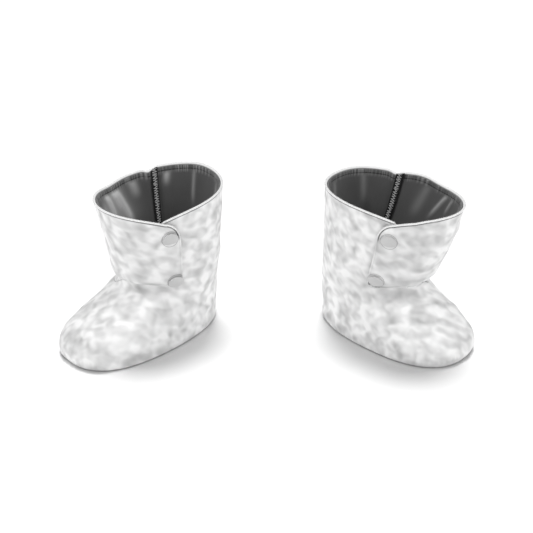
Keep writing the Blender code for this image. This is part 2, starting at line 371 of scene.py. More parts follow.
@dataclass(frozen=True)
class CoverForm:
    """The shape of one cover and its place in the pair."""

    name: str
    hand: Hand
    heading: float
    place: Pair
    seam_angle: float
    crossing_angle: float
    edge_angle: float
    under_angle: float
    rim: Rim
    rim_waves: tuple[RimWave, ...]
    snaps: tuple[SnapPlace, ...]
    sections: tuple[Section, ...]
    folds: tuple[Fold, ...]
    creases: tuple[Crease, ...]
    satin_folds: tuple[SatinFold, ...]
    # How strongly the painted sheen of the satin folds shows
    satin_gloss: float
    allowance_lean: float
    lower_edge_shows: float
    seed: int

    def read_sections(self, height: Array) -> Array:
        """Read every column of the sections at some heights, by a cubic through its rows.

        Args:
            height: heights, mm.
        Returns:
            Heel, toe, half widths at the heel and the ball, and squareness, at each height.
        """
        table = np.array([astuple(section) for section in self.sections])
        levels = table[:, 0]
        slopes = np.gradient(table, levels, axis=0)
        height = np.clip(height, levels[0], levels[-1])
        row = np.clip(np.searchsorted(levels, height, side="right") - 1, 0, len(levels) - 2)
        step = levels[row + 1] - levels[row]
        part = ((height - levels[row]) / step)[..., None]
        step = step[..., None]
        values = (
            (1.0 + 2.0 * part) * (1.0 - part) ** 2 * table[row]
            + part * (1.0 - part) ** 2 * step * slopes[row]
            + part**2 * (3.0 - 2.0 * part) * table[row + 1]
            - part**2 * (1.0 - part) * step * slopes[row + 1]
        )
        return np.moveaxis(values[..., 1:], -1, 0)

    def smooth_face(self, angle: Array, height: Array) -> Array:
        """Points of the smooth outer face, from rounded level sections.

        Args:
            angle: angles.
            height: heights, mm.
        Returns:
            Points in the cover's frame, mm.
        """
        heel, toe, heel_half, ball_half, squareness = self.read_sections(height)
        turn = np.radians(angle)
        ahead = np.cos(turn)
        power = 2.0 / np.where(ahead > 0.0, squareness, CLOTH.heel_squareness)
        along = np.sign(ahead) * np.abs(ahead) ** power
        across = np.sign(np.sin(turn)) * np.abs(np.sin(turn)) ** power
        x = (heel + toe) / 2.0 + (toe - heel) / 2.0 * along
        half = heel_half + (ball_half - heel_half) * smooth_step((x - heel) / (toe - heel))
        return np.stack([x, half * across, np.broadcast_to(height, x.shape)], axis=-1)

    def outward(self, angle: Array, height: Array) -> Array:
        """Unit vectors that point out of the smooth face."""
        return directions_out(self.smooth_face, angle, height)

    def swell(self, angle: Array, height: Array) -> Array:
        """How far the folds and creases lift the face."""
        return sum(item.lift(angle, height) for item in (*self.folds, *self.creases))

    def face(self, angle: Array, height: Array, stand: float | Array = 0.0) -> Array:
        """Points of the outer face with its folds, moved out by a stand-off.

        Args:
            angle: angles.
            height: heights, mm.
            stand: how far out of the face the points lie, mm.
        Returns:
            Points in the cover's frame, mm, with the closure side at +Y on both covers.
        """
        angle, height = np.broadcast_arrays(np.array(angle, float), np.array(height, float))
        lift = self.swell(angle, height) + stand
        return self.smooth_face(angle, height) + self.outward(angle, height) * lift[..., None]

    def rim_height(self, angle: Array) -> Array:
        """Height of the rim, with its dip where the flap crosses over.

        Args:
            angle: angles.
        Returns:
            The height at each angle, mm.
        """
        turn = np.radians(angle)
        away = np.abs(turn_from(self.crossing_angle, angle))
        waves = sum(wave.rise * bell(turn_from(wave.angle, angle), wave.spread) for wave in self.rim_waves)
        rim = self.rim
        tilted = rim.height + waves + rim.toe_tilt * np.cos(turn) + rim.side_tilt * np.sin(turn)
        arched = tilted + rim.toe_arch * np.cos(2.0 * turn) + rim.side_arch * np.sin(2.0 * turn)
        return arched - rim.dip * np.exp(-away / rim.dip_spread)

    def flap_low(self, angle: Array) -> Array:
        """Height of the flap's lower edge."""
        arch = CLOTH.flap_arch * ease_between(angle, CLOTH.flap_arch_ends)
        return CLOTH.ankle + arch - CLOTH.flap_dip * ease_between(angle, CLOTH.flap_dip_ends)

    def flap_stand(self, angle: Array, height: Array) -> Array:
        """How far the flap stands out over the shaft, drawn in where its lower edge is sewn.

        Args:
            angle: angles.
            height: heights, mm.
        Returns:
            The stand-off of each point, mm.
        """
        sewn = 1.0 - ease_between(angle, CLOTH.sewn_ends)
        drawn_in = sewn * np.exp((self.flap_low(angle) - height) / CLOTH.drawn_in_rise)
        return CLOTH.lap_stand * ease_between(angle, CLOTH.stand_ends) * (1.0 - drawn_in)

    def corner_rounding(self, angle: Array) -> Array:
        """How far into the rounding of the flap's corners an angle lies, from 0 to 1."""
        into_corner = np.clip((angle - self.edge_angle) / CLOTH.corner_turn + 1.0, 0.0, 1.0)
        return 1.0 - np.sqrt(np.maximum(1.0 - into_corner**2, 0.0))

    def flap_top(self, angle: Array) -> Array:
        """Height of the flap's upper edge, down its top corner."""
        fall = CLOTH.corner_fall * self.corner_rounding(angle)
        return self.rim_height(np.minimum(angle, self.crossing_angle)) - fall

    def flap_bottom(self, angle: Array) -> Array:
        """Height of the flap's lower edge, up its low corner."""
        return self.flap_low(angle) + CLOTH.low_corner_rise * self.corner_rounding(angle)

    @property
    def corner_start(self) -> float:
        """The angle where the flap's corners start to round."""
        return self.edge_angle - CLOTH.corner_turn

    def from_seam(self, angle: Array) -> Array:
        """Count angles from the side seam on, up to a whole turn past it."""
        return (angle - self.seam_angle) % 360.0 + self.seam_angle

    def hidden_drop(self, angle: Array) -> Array:
        """How far the upper's rim drops where it runs on under the flap."""
        return smooth_step((self.crossing_angle - angle) / CLOTH.under_drop_turn) * CLOTH.under_drop

    def upper_flat(self) -> Pair:
        """Size of the upper laid flat: the foot's girth, and the rim's height with the run under.

        Returns:
            Length and height, m.
        """
        foot = next(section for section in self.sections if section.height == CLOTH.girth_height)
        girth = 2.0 * (foot.toe + 2.0 * foot.ball_half)
        return girth * MM, (self.rim.height + CLOTH.run_under) * MM

    def flap_flat(self) -> Pair:
        """Length and height of the flap laid flat, m."""
        length = math.radians(self.edge_angle - self.seam_angle) * CLOTH.flap_bend
        return length * MM, (self.rim.height - CLOTH.ankle) * MM

    def snap_axis(self, snap: SnapPlace, reach: float, lean: float = 0.0) -> Array:
        """The direction that a snap faces, across the cloth that it covers.

        Args:
            snap: its place.
            reach: how far round it the cloth is read, mm.
            lean: how far it leans forward, degrees.
        Returns:
            A unit vector in the cover's frame.
        """
        turn = CLOTH.degrees_for(reach)
        before, after = self.face([snap.angle - turn, snap.angle + turn], snap.height)
        below, above = self.face(snap.angle, [snap.height - reach, snap.height + reach])
        normal = np.cross(after - before, above - below)
        normal = normal / np.linalg.norm(normal) - (0.0, 0.0, math.tan(math.radians(lean)))
        return normal / np.linalg.norm(normal)

    def to_pair(self, points: Array) -> Array:
        """Move points, or the ends of directions, from the cover's frame to the pair's.

        Args:
            points: points in the cover's frame, mm.
        Returns:
            Points in the pair's frame, m.
        """
        turn = math.radians(self.heading)
        x, y, z = np.moveaxis(points * (1.0, self.hand.value, 1.0), -1, 0)
        across = self.place[0] + x * math.cos(turn) - y * math.sin(turn)
        away = self.place[1] + x * math.sin(turn) + y * math.cos(turn)
        return MM * np.stack([across, away, z], axis=-1)

    def direction_to_pair(self, directions: Array) -> Array:
        """Turn directions from the cover's frame to the pair's."""
        return (self.to_pair(directions) - self.to_pair(np.zeros(3))) / MM


LEFT_FORM = CoverForm(
    name="left",
    hand=Hand.LEFT,
    heading=220.7,
    place=(-50.28, 46.97),
    seam_angle=-114.0,
    crossing_angle=63.9,
    edge_angle=75.3,
    under_angle=50.0,
    rim=Rim(130.0, -0.3, 2.4, 1.2, 1.1, 11.5, 30.0),
    rim_waves=(RimWave(-109.5, 5.0, -2.6), RimWave(-67.0, 15.0, -1.8), RimWave(-172.0, 24.0, 1.4)),
    snaps=(SnapPlace("top", 66.2, 106.2), SnapPlace("low", 68.0, 64.3)),
    sections=(
        Section(0, 1.9, 148, 35.8, 43.9, 2.5),
        Section(6, 0.8, 149.5, 36.3, 43.4, 2.5),
        Section(15, 0.1, 148.4, 35.4, 42.5, 2.5),
        Section(27, -0.9, 134.6, 35, 39.4, 2.4),
        Section(38, -0.3, 112.7, 35.3, 36.3, 2.2),
        Section(50, -0.1, 93.6, 36.2, 36.2, 2.1),
        Section(70, -0.8, 96.6, 39.2, 39.4, 2),
        Section(95, -1.7, 100.7, 42.5, 42.3, 2),
        Section(130, -3.3, 108.8, 45.5, 45.1, 2),
    ),
    folds=(
        Fold(-20, 51, 50, 5, -1.4),
        Fold(-15, 62, 40, 6, 0.9),
        Fold(165, 50, 45, 13, -0.8),
        Fold(60, 34, 40, 5, -0.9),
    ),
    creases=(
        Crease(62, 22, 22, 4, 24, 0.8),
        Crease(98, 38, 20, 3.6, -12, 0.7),
        Crease(128, 26, 16, 3.4, 18, 0.7),
        Crease(28, 26, 20, 4.2, -30, 0.7),
        Crease(116, 78, 17, 4.4, 66, 0.5),
        Crease(34, 84, 15, 4, -58, 0.5),
        Crease(190, 44, 22, 4, 8, 0.8),
        Crease(168, 62, 18, 4, -14, 0.6),
        Crease(250, 34, 22, 3.8, 15, 0.7),
        Crease(292, 27, 20, 4, -22, 0.7),
        Crease(232, 90, 18, 4.4, 72, 0.5),
        Crease(312, 78, 16, 4.2, -64, 0.5),
    ),
    satin_folds=(
        SatinFold(-57, 112, 17, 3, -14, 1.3),
        SatinFold(-67, 116, 14, 2.2, -16, 1),
        SatinFold(-77, 104, 18, 3.2, -20, 1.3),
        SatinFold(-66, 104, 24, 15, -18, 0.7),
        SatinFold(-48, 102, 12, 4, -24, 0.6),
        SatinFold(-92, 118, 12, 3.4, -10, 0.7),
        SatinFold(-128, 122, 10, 3, 8, 0.8),
        SatinFold(-160, 112, 15, 2, 4, 0.5),
        SatinFold(-196, 106, 18, 3, 8, 0.6),
        SatinFold(-20, 100, 20, 3, 12, 1),
        SatinFold(20, 96, 20, 3, -10, 0.9),
        SatinFold(120, 92, 20, 3.4, 10, 0.8),
    ),
    satin_gloss=0.75,
    allowance_lean=-1.0,
    lower_edge_shows=0.15,
    seed=11,
)
RIGHT_FORM = CoverForm(
    name="right",
    hand=Hand.RIGHT,
    heading=-41.1,
    place=(57.49, 46.69),
    seam_angle=-112.5,
    crossing_angle=61.8,
    edge_angle=72.3,
    under_angle=46.0,
    rim=Rim(129.5, 0.9, 3.2, 0.8, 0.7, 7.7, 22.4),
    rim_waves=(RimWave(-115.0, 4.5, -2.0), RimWave(-92.0, 13.0, 2.6), RimWave(-150.0, 30.0, 0.7)),
    snaps=(SnapPlace("top", 62.3, 109.1), SnapPlace("low", 64.4, 68.2)),
    sections=(
        Section(0, -1.5, 139, 37.6, 42.6, 2.5),
        Section(6, -2.8, 140.8, 37.8, 42.6, 2.5),
        Section(15, -3.2, 138.7, 36, 41, 2.5),
        Section(27, -3.7, 128.8, 35, 38.2, 2.4),
        Section(38, -3.5, 111.4, 35.3, 35.8, 2.2),
        Section(50, -2.4, 95.3, 36.6, 36, 2.1),
        Section(70, -0.9, 104, 39.6, 39.5, 2),
        Section(95, 0.1, 114.4, 42.3, 42.5, 2),
        Section(130, 0.8, 123.6, 45.2, 46.2, 2),
    ),
    folds=(
        Fold(-15, 50, 50, 5, -1.4),
        Fold(-25, 60, 40, 6, 0.9),
        Fold(190, 52, 45, 13, -0.8),
        Fold(75, 36, 40, 5, -0.9),
    ),
    creases=(
        Crease(70, 24, 20, 3.8, -18, 0.7),
        Crease(104, 34, 22, 3.8, 10, 0.8),
        Crease(132, 40, 16, 3.4, -16, 0.7),
        Crease(32, 24, 20, 4.2, 28, 0.7),
        Crease(124, 82, 17, 4.4, -68, 0.5),
        Crease(38, 88, 15, 4, 60, 0.5),
        Crease(176, 46, 22, 4, -8, 0.8),
        Crease(200, 66, 18, 4, 12, 0.6),
        Crease(246, 32, 22, 3.8, -15, 0.7),
        Crease(288, 26, 20, 4, 20, 0.7),
        Crease(228, 86, 18, 4.4, -70, 0.5),
        Crease(316, 80, 16, 4.2, 62, 0.5),
    ),
    satin_folds=(
        SatinFold(-66, 112, 16, 1.7, -26, 1.2),
        SatinFold(-53, 116, 10, 1.5, -18, 0.8),
        SatinFold(-88, 108, 16, 3.4, -12, 0.4),
        SatinFold(-146, 112, 15, 3, 5, 0.4),
        SatinFold(-186, 110, 16, 2.6, 6, 0.5),
        SatinFold(-206, 112, 14, 2.4, 8, 0.6),
        SatinFold(-24, 102, 20, 3, 12, 1),
        SatinFold(18, 98, 20, 3, -10, 0.9),
        SatinFold(116, 92, 20, 3.4, 10, 0.8),
    ),
    satin_gloss=0.5,
    allowance_lean=3.0,
    lower_edge_shows=0.9,
    seed=23,
)


def linear(hex_colour: str) -> tuple[float, float, float, float]:
    """Turn an sRGB hex colour, such as #f2f2f4, to linear red, green, blue and alpha."""
    values = [int(hex_colour[start : start + 2], 16) / 255.0 for start in (1, 3, 5)]
    return (*(v / 12.92 if v <= 0.04045 else ((v + 0.055) / 1.055) ** 2.4 for v in values), 1.0)


def link_object(name: str, data: bpy.types.ID) -> Object:
    """Put an object in the scene, with its mesh, light or camera.

    Args:
        name: the object's name.
        data: what it holds.
    Returns:
        The object.
    """
    item = bpy.data.objects.new(name, data)
    bpy.context.scene.collection.objects.link(item)
    return item


def add_node(
    tree: bpy.types.NodeTree, kind: str, inputs: Inputs | None = None, **settings: object
) -> bpy.types.Node:
    """Add a node with its settings, and set or link its inputs.

    Args:
        tree: the node tree that it joins.
        kind: the node's type.
        inputs: for an input's name or number, its value or the output that is linked to it.
        settings: the node's own options.
    Returns:
        The node.
    """
    node = tree.nodes.new(kind)
    for name, value in settings.items():
        setattr(node, name, value)
    set_inputs(node, inputs or {})
    return node


def set_inputs(node: bpy.types.Node, inputs: Inputs) -> None:
    """Set or link a node's inputs.

    Args:
        node: the node.
        inputs: as add_node takes them.
    """
    for key, value in inputs.items():
        if isinstance(value, Socket):
            node.id_data.links.new(value, node.inputs[key])
        else:
            node.inputs[key].default_value = value


class NodeMaker:
    """Adds nodes to a tree, and gives their outputs."""

    tree: bpy.types.NodeTree

    def output(
        self, kind: str, inputs: Inputs | None = None, socket: str | int = 0, **settings: object
    ) -> Socket:
        """Add a node, as add_node does, and give one of its outputs."""
        return add_node(self.tree, kind, inputs, **settings).outputs[socket]

    def calculated(self, operation: str, *values: object) -> Socket:
        """Calculate with one value or more."""
        return self.output("ShaderNodeMath", dict(enumerate(values)), operation=operation)


class FinishNodes(NodeMaker):
    """A material with a Principled shader, and the nodes that feed it."""

    def __init__(self, name: str) -> None:
        """Make a material of some name, and its shader.

        Args:
            name: the material's name.
        """
        self.material = bpy.data.materials.new(name)
        self.material.use_nodes = True
        self.tree = self.material.node_tree
        self.tree.nodes.clear()
        self.shader = add_node(self.tree, "ShaderNodeBsdfPrincipled")
        add_node(self.tree, "ShaderNodeOutputMaterial", {"Surface": self.shader.outputs["BSDF"]})

    def place(self, kind: str) -> Socket:
        """Places on the piece: Object, in metres, or UV."""
        return self.output("ShaderNodeTexCoord", None, kind)

    def place_in_mm(self) -> Socket:
        """Places on the piece, in mm."""
        scaled = {0: self.place("Object"), "Scale": 1.0 / MM}
        return self.output("ShaderNodeVectorMath", scaled, operation="SCALE")

    def noise(self, place: Socket, size: float, **options: float) -> Socket:
        """Add a noise with cells of some size, in the unit of the place, and options such as its detail."""
        given = {"Vector": place, "Scale": 1.0 / size}
        given |= {name.capitalize(): value for name, value in options.items()}
        return self.output("ShaderNodeTexNoise", given, "Fac")

    def mixed(self, part: object, first: object, second: object) -> Socket:
        """Mix two colours by a part from 0 to 1."""
        return self.output("ShaderNodeMix", {0: part, 6: first, 7: second}, 2, data_type="RGBA")

    def attribute(self, name: str) -> Socket:
        """Read an attribute of the piece's points."""
        return self.output("ShaderNodeAttribute", None, "Fac", attribute_name=name)

    def bump(self, height: object, strength: float, depth_mm: float, **under: object) -> Socket:
        """Add a relief of some full depth, which may lie on the Normal of another."""
        inputs = {"Height": height, "Strength": strength, "Distance": depth_mm * MM, **under}
        return self.output("ShaderNodeBump", inputs, "Normal")

    def finish(self, inputs: Inputs) -> Material:
        """Set the shader's inputs, and give the material."""
        set_inputs(self.shader, inputs)
        return self.material


@dataclass(frozen=True)
class PlushFinish:
    """Polyester plush with a short crushed nap.

    The white is clouded with soft greys 8 to 17 mm across: partly the tone of nap that lies over in
    patches, and partly painted shade that stands in for soft crumples. The nap's ends catch the light
    at a glance. It is matt, with a fine grain. The rolled edges are painted plain white as a
    highlight, and thin lines of painted shade lie under each cap's edge, in the stitches' ditch, along
    the seams, along the sole's edge and under the flap's lower edge.
    """

    # The clouds run from light to shade: partly the nap's own tone, partly painted shade of soft crumples
    light: str = "#fbfbfb"
    shade: str = "#bababa"
    # Plain white painted along the rolled edges as a highlight, without the painted cloud shade
    rolled_edge: str = "#fbfbfb"
    # Colour of the painted shade lines: in the stitches' ditch, along seams, the sole's edge, the flap's
    # lower edge and round the caps
    stitch_shade: str = "#303031"
    # Width of the painted shadow line round each cap, and how far outside its edge it lies
    cap_line_mm: float = 0.4
    cap_line_away_mm: float = 0.2
    cloud_mm: float = 12.0
    streak_mm: float = 7.0
    # Real pile ends are about 0.1 mm apart. They are drawn coarser, so that the grain shows.
    pile_mm: float = 0.8

    def material(self) -> Material:
        """Make the material.

        Returns:
            The material.
        """
        nodes = FinishNodes("white polyester plush, crushed nap")
        in_mm = nodes.place_in_mm()
        clouds = nodes.noise(in_mm, self.cloud_mm, detail=1.0, roughness=0.4, distortion=0.3)
        slanted = nodes.output(
            "ShaderNodeMapping",
            {"Vector": in_mm, "Rotation": (0.2, 0.4, 0.3), "Scale": (1.7, 1.0, 1.0)},
            vector_type="TEXTURE",
        )
        streaks = nodes.noise(slanted, self.streak_mm, detail=0.0, distortion=0.5)
        # Clouds and streaks of painted crumple shade, also used as a soft bump
        nap = nodes.calculated("ADD", clouds, streaks)
        lightness = nodes.output(
            "ShaderNodeMapRange", {"Value": nap, "From Min": 0.5, "From Max": 1.3}, "Result"
        )
        clouded = nodes.mixed(lightness, linear(self.shade), linear(self.light))
        # The rolled edges get the painted highlight, read from the 'rolled' attribute
        rolled_highlighted = nodes.mixed(nodes.attribute("rolled"), clouded, linear(self.rolled_edge))
        # A thin painted shadow just outside each cap's edge, read from the 'from_cap' attribute
        beside = nodes.calculated("SUBTRACT", nodes.attribute("from_cap"), self.cap_line_away_mm)
        aside = nodes.calculated("ABSOLUTE", beside)
        cap_shadow_line = nodes.output(
            "ShaderNodeMapRange",
            {"Value": aside, "From Max": self.cap_line_mm, "To Min": 0.5, "To Max": 0.0},
            "Result",
            interpolation_type="SMOOTHSTEP",
        )
        # The 'sewn' attribute holds painted shade lines, not a colour of the sewing
        shaded = nodes.calculated("MAXIMUM", nodes.attribute("sewn"), cap_shadow_line)
        soft = nodes.bump(nap, 0.5, depth_mm=0.9)
        pile = nodes.noise(in_mm, self.pile_mm)
        return nodes.finish(
            {
                "Base Color": nodes.mixed(shaded, rolled_highlighted, linear(self.stitch_shade)),
                "Normal": nodes.bump(pile, 0.35, depth_mm=0.25, Normal=soft),
                "Roughness": 0.92,
                "Specular IOR Level": 0.2,
                "Sheen Weight": 0.35,
                "Sheen Roughness": 0.5,
            }
        )


@dataclass(frozen=True)
class SatinFinish:
    """Dark grey polyester lining satin: smooth, with a soft sheen of long threads and painted sheen on
    folds.
    """

    colour: str = "#5a5a5a"
    worn: str = "#686868"
    # Painted sheen laid on the ridges of slack folds and hem puckers
    gloss: str = "#e0e0e0"
    # Colour of the painted shade along the hem's stitch line
    hem_shade: str = "#262626"
    # Real threads are about 0.15 mm apart. They are drawn coarser, so that the weave shows.
    thread_mm: float = 0.7
    patch_mm: float = 24.0

    def material(self) -> Material:
        """Make the material.

        Returns:
            The material.
        """
        nodes = FinishNodes("grey polyester lining satin")
        patches = nodes.noise(nodes.place_in_mm(), self.patch_mm, detail=3.0)
        base = nodes.mixed(patches, linear(self.colour), linear(self.worn))
        # Painted sheen, read from the 'raised' attribute
        with_painted_sheen = nodes.mixed(nodes.attribute("raised"), base, linear(self.gloss))
        stretched = nodes.output(
            "ShaderNodeMapping", {"Vector": nodes.place("UV"), "Scale": (1.0 / MM, 0.15 / MM, 1.0)}
        )
        threads = nodes.noise(stretched, self.thread_mm, detail=1.0)
        return nodes.finish(
            {
                "Base Color": nodes.mixed(nodes.attribute("sewn"), with_painted_sheen, linear(self.hem_shade)),
                "Normal": nodes.bump(threads, 0.3, depth_mm=0.12),
                "Roughness": 0.38,
                "Anisotropic": 0.5,
                "Sheen Weight": 0.25,
            }
        )


@dataclass(frozen=True)
class ThreadFinish:
    """Spun polyester sewing thread: matt, with a fine twist."""

    name: str
    colour: str
    twist_mm: float = 0.5

    def material(self) -> Material:
        """Make the material.

        Returns:
            The material.
        """
        nodes = FinishNodes(self.name)
        twist = nodes.noise(nodes.place("Object"), self.twist_mm * MM)
        relief = nodes.bump(twist, 0.5, depth_mm=0.1)
        return nodes.finish({"Base Color": linear(self.colour), "Normal": relief, "Roughness": 0.75})


@dataclass(frozen=True)
class SnapFinish:
    """Injection-moulded acetal: pale grey, satin-smooth, with a faint mould grain."""

    colour: str = "#cecece"
    grain_mm: float = 0.9

    def material(self) -> Material:
        """Make the material.

        Returns:
            The material.
        """
        nodes = FinishNodes("pale grey moulded acetal")
        grain = nodes.noise(nodes.place("Object"), self.grain_mm * MM, detail=3.0)
        relief = nodes.bump(grain, 0.2, depth_mm=0.05)
        return nodes.finish(
            {"Base Color": linear(self.colour), "Normal": relief, "Roughness": 0.36, "IOR": 1.48}
        )


@dataclass(frozen=True)
class Wardrobe:
    """One material for each finish."""

    plush: Material
    pile: Material
    satin: Material
    overlocked: Material
    grey_thread: Material
    dark_thread: Material
    pale_thread: Material
    snap: Material

    @classmethod
    def made(cls) -> "Wardrobe":
        """Make every material once.

        Returns:
            The materials.
        """
        return cls(
            plush=PlushFinish().material(),
            pile=ThreadFinish("white pile fibre", "#fafafa").material(),
            satin=SatinFinish().material(),
            # The strip is drawn near-black: partly its own dark cloth, partly painted shade along its edges
            overlocked=ThreadFinish("black overlocked cloth", "#1c1c1d").material(),
            # Dark grey thread, darkened so that the stitches also paint the shadow line of their ditch
            grey_thread=ThreadFinish("grey polyester thread", "#4c4c4e").material(),
            dark_thread=ThreadFinish("black polyester thread", "#1c1c1d").material(),
            pale_thread=ThreadFinish("pale grey overlock thread", "#d4d4d4").material(),
            snap=SnapFinish().material(),
        )


def rows_between(
    low: Array, high: Array, count: int, low_offsets: tuple[float, ...],
    high_offsets: tuple[float, ...],
) -> Array:
    """Rows from low to high for each column, close together near the ends.

    Args:
        low, high: where each column starts and ends.
        count: number of even steps between the close rows.
        low_offsets, high_offsets: distances of the close rows from either end, from 0 up.
    Returns:
        An array with a row for each place and a column for each column.
    """
    low = np.asarray(low, float)
    high = np.asarray(high, float)
    first = low + low_offsets[-1]
    last = high - high_offsets[-1]
    parts = np.linspace(0.0, 1.0, count + 1)
    return np.array(
        [low + offset for offset in low_offsets[:-1]]
        + [first + (last - first) * part for part in parts]
        + [high - offset for offset in reversed(high_offsets[:-1])]
    )


class ClothGrid:
    """A grid of points on the middle of a cloth wall, with faces between those that are present."""

    sewn_round = 0.3

    def __init__(
        self, surface: Surface, angles: Array, heights: Array, present: Array | None = None,
        closed: bool = False,
    ) -> None:
        """Number the points, make the faces and find the edges.

        Args:
            surface: the surface that the grid lies on, in the cover's frame.
            angles: each point's angle, by row and column.
            heights: each point's height.
            present: which points are there, or None for all.
            closed: whether the last column joins the first.
        """
        if present is None:
            present = np.ones(heights.shape, bool)
        self.angles = np.broadcast_to(angles, heights.shape)[present]
        self.heights = heights[present]
        self.points = surface(self.angles, self.heights)
        self.normals = directions_out(surface, self.angles, self.heights)
        number = np.where(present, np.cumsum(present).reshape(present.shape) - 1, -1)
        right = np.roll(number, -1, axis=1)
        quads = np.stack([number[:-1], right[:-1], right[1:], number[1:]], axis=-1)
        if not closed:
            quads = quads[:, :-1]
        quads = quads.reshape(-1, 4)
        self.quads = quads[(quads >= 0).all(axis=1)]
        sides = np.concatenate([self.quads[:, [a, (a + 1) % 4]] for a in range(4)])
        unique, uses = np.unique(np.sort(sides, axis=1), axis=0, return_counts=True)
        self.boundary = np.zeros(len(self.points), bool)
        self.boundary[unique[uses == 1]] = True
        self.edge_distance = self.distance_to(self.boundary)

    def distance_to(self, chosen: Array) -> Array:
        """Distance from each point to the nearest chosen one.

        Args:
            chosen: which points are chosen.
        Returns:
            The distances, mm.
        """
        tree = KDTree(int(chosen.sum()))
        for number, point in enumerate(self.points[chosen]):
            tree.insert(point, number)
        tree.balance()
        return np.array([tree.find(point)[2] for point in self.points])

    def shell(
        self, wall: float, outer_lift: Array, inner_lift: Array, sewn: Array
    ) -> tuple[Array, Array]:
        """Give the grid a wall, round at its free edges and nearly square where it is sewn.

        Args:
            wall: thickness, mm.
            outer_lift, inner_lift: how far the faces stand out of an even wall, and in, mm.
            sewn: which points are nearest to a sewn edge.
        Returns:
            The points, outer face first, and the faces.
        """
        inset = np.clip(self.edge_distance / np.where(sewn, self.sewn_round, wall / 2.0), 0.0, 1.0)
        half = wall / 2.0 * np.sqrt(1.0 - (1.0 - inset) ** 2)
        outer = self.points + self.normals * (half + outer_lift)[:, None]
        inner = self.points - self.normals * (half + inner_lift)[:, None]
        inner_number = np.arange(len(outer))
        inside = ~self.boundary
        inner_number[inside] = len(outer) + np.arange(int(inside.sum()))
        faces = np.concatenate([self.quads, inner_number[self.quads[:, ::-1]]])
        return np.concatenate([outer, inner[inside]]), faces

    def on_shell(self, values: Array) -> Array:
        """Repeat a grid's values for the points of its shell."""
        return np.concatenate([values, values[~self.boundary]])

    def area(self) -> float:
        """The grid's own area, in square metres."""
        a, b, c, d = (self.points[self.quads[:, corner]] for corner in range(4))
        return float(np.linalg.norm(np.cross(c - a, d - b), axis=1).sum() / 2.0) * MM * MM


def new_piece(
    name: str, form: CoverForm, points: Array, faces: Array | Faces, material: Material,
    attributes: dict[str, Array] | None = None, flat_places: Array | None = None,
) -> Object:
    """Make a smooth piece at its place in the pair.

    Args:
        name: the piece's name.
        form: the cover that it belongs to.
        points: points in the cover's frame, mm.
        faces: faces that point out where the closure side is at +Y.
        material: its finish.
        attributes: for each attribute of its points, its values.
        flat_places: for each point, its place on the flat cloth, mm, kept as the UV map.
    Returns:
        The piece.
    """
    mesh = bpy.data.meshes.new(name)
    listed = faces.tolist() if isinstance(faces, Array) else faces
    if form.hand is Hand.RIGHT:
        listed = [face[::-1] for face in listed]
    mesh.from_pydata(form.to_pair(points).tolist(), [], listed)
    mesh.shade_smooth()
    for attribute, values in (attributes or {}).items():
        layer = mesh.attributes.new(attribute, "FLOAT", "POINT")
        layer.data.foreach_set("value", np.asarray(values, np.float32))
    if flat_places is not None:
        corners = np.zeros(len(mesh.loops), np.int32)
        mesh.loops.foreach_get("vertex_index", corners)
        layer = mesh.uv_layers.new(name="cloth")
        layer.data.foreach_set("uv", (flat_places[corners] * MM).astype(np.float32).ravel())
    mesh.materials.append(material)
    piece = link_object(name, mesh)
    log.info("%s: %d faces", name, len(listed))
    return piece


def dress(piece: Object, slot: Slot, *nodes: str) -> Object:
    """Let a piece ride on the part's body, and hide the solids that it stands for.

    Args:
        piece: the piece.
        slot: not used.
        nodes: the solids that it stands for.
    Returns:
        The piece.
    """
    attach(piece, BODY)
    if nodes:
        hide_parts(*nodes)
    return piece


@dataclass(frozen=True)
class StitchSizes:
    """Sizes of a line of stitches, in mm and degrees."""

    pitch: float
    length: float
    width: float
    height: float
    slant: float = 0.0
    wander: float = 4.0

    def inputs(self) -> dict[str, object]:
        """The node tree's inputs for these sizes, by name."""
        return {
            "Pitch": self.pitch * MM,
            "Size": (self.height * MM, self.width * MM, self.length * MM),
            "Slant": math.radians(self.slant),
            "Wander": math.radians(self.wander),
        }


@dataclass(frozen=True)
class PileSizes:
    """Sizes of the pile on an edge, in mm."""

    pitch: float = 0.13
    length: float = 1.1
    thickness: float = 0.06
    scatter: float = 0.3

    def inputs(self) -> dict[str, object]:
        """The node tree's inputs for these sizes, by name."""
        return {name.capitalize(): size * MM for name, size in vars(self).items()}


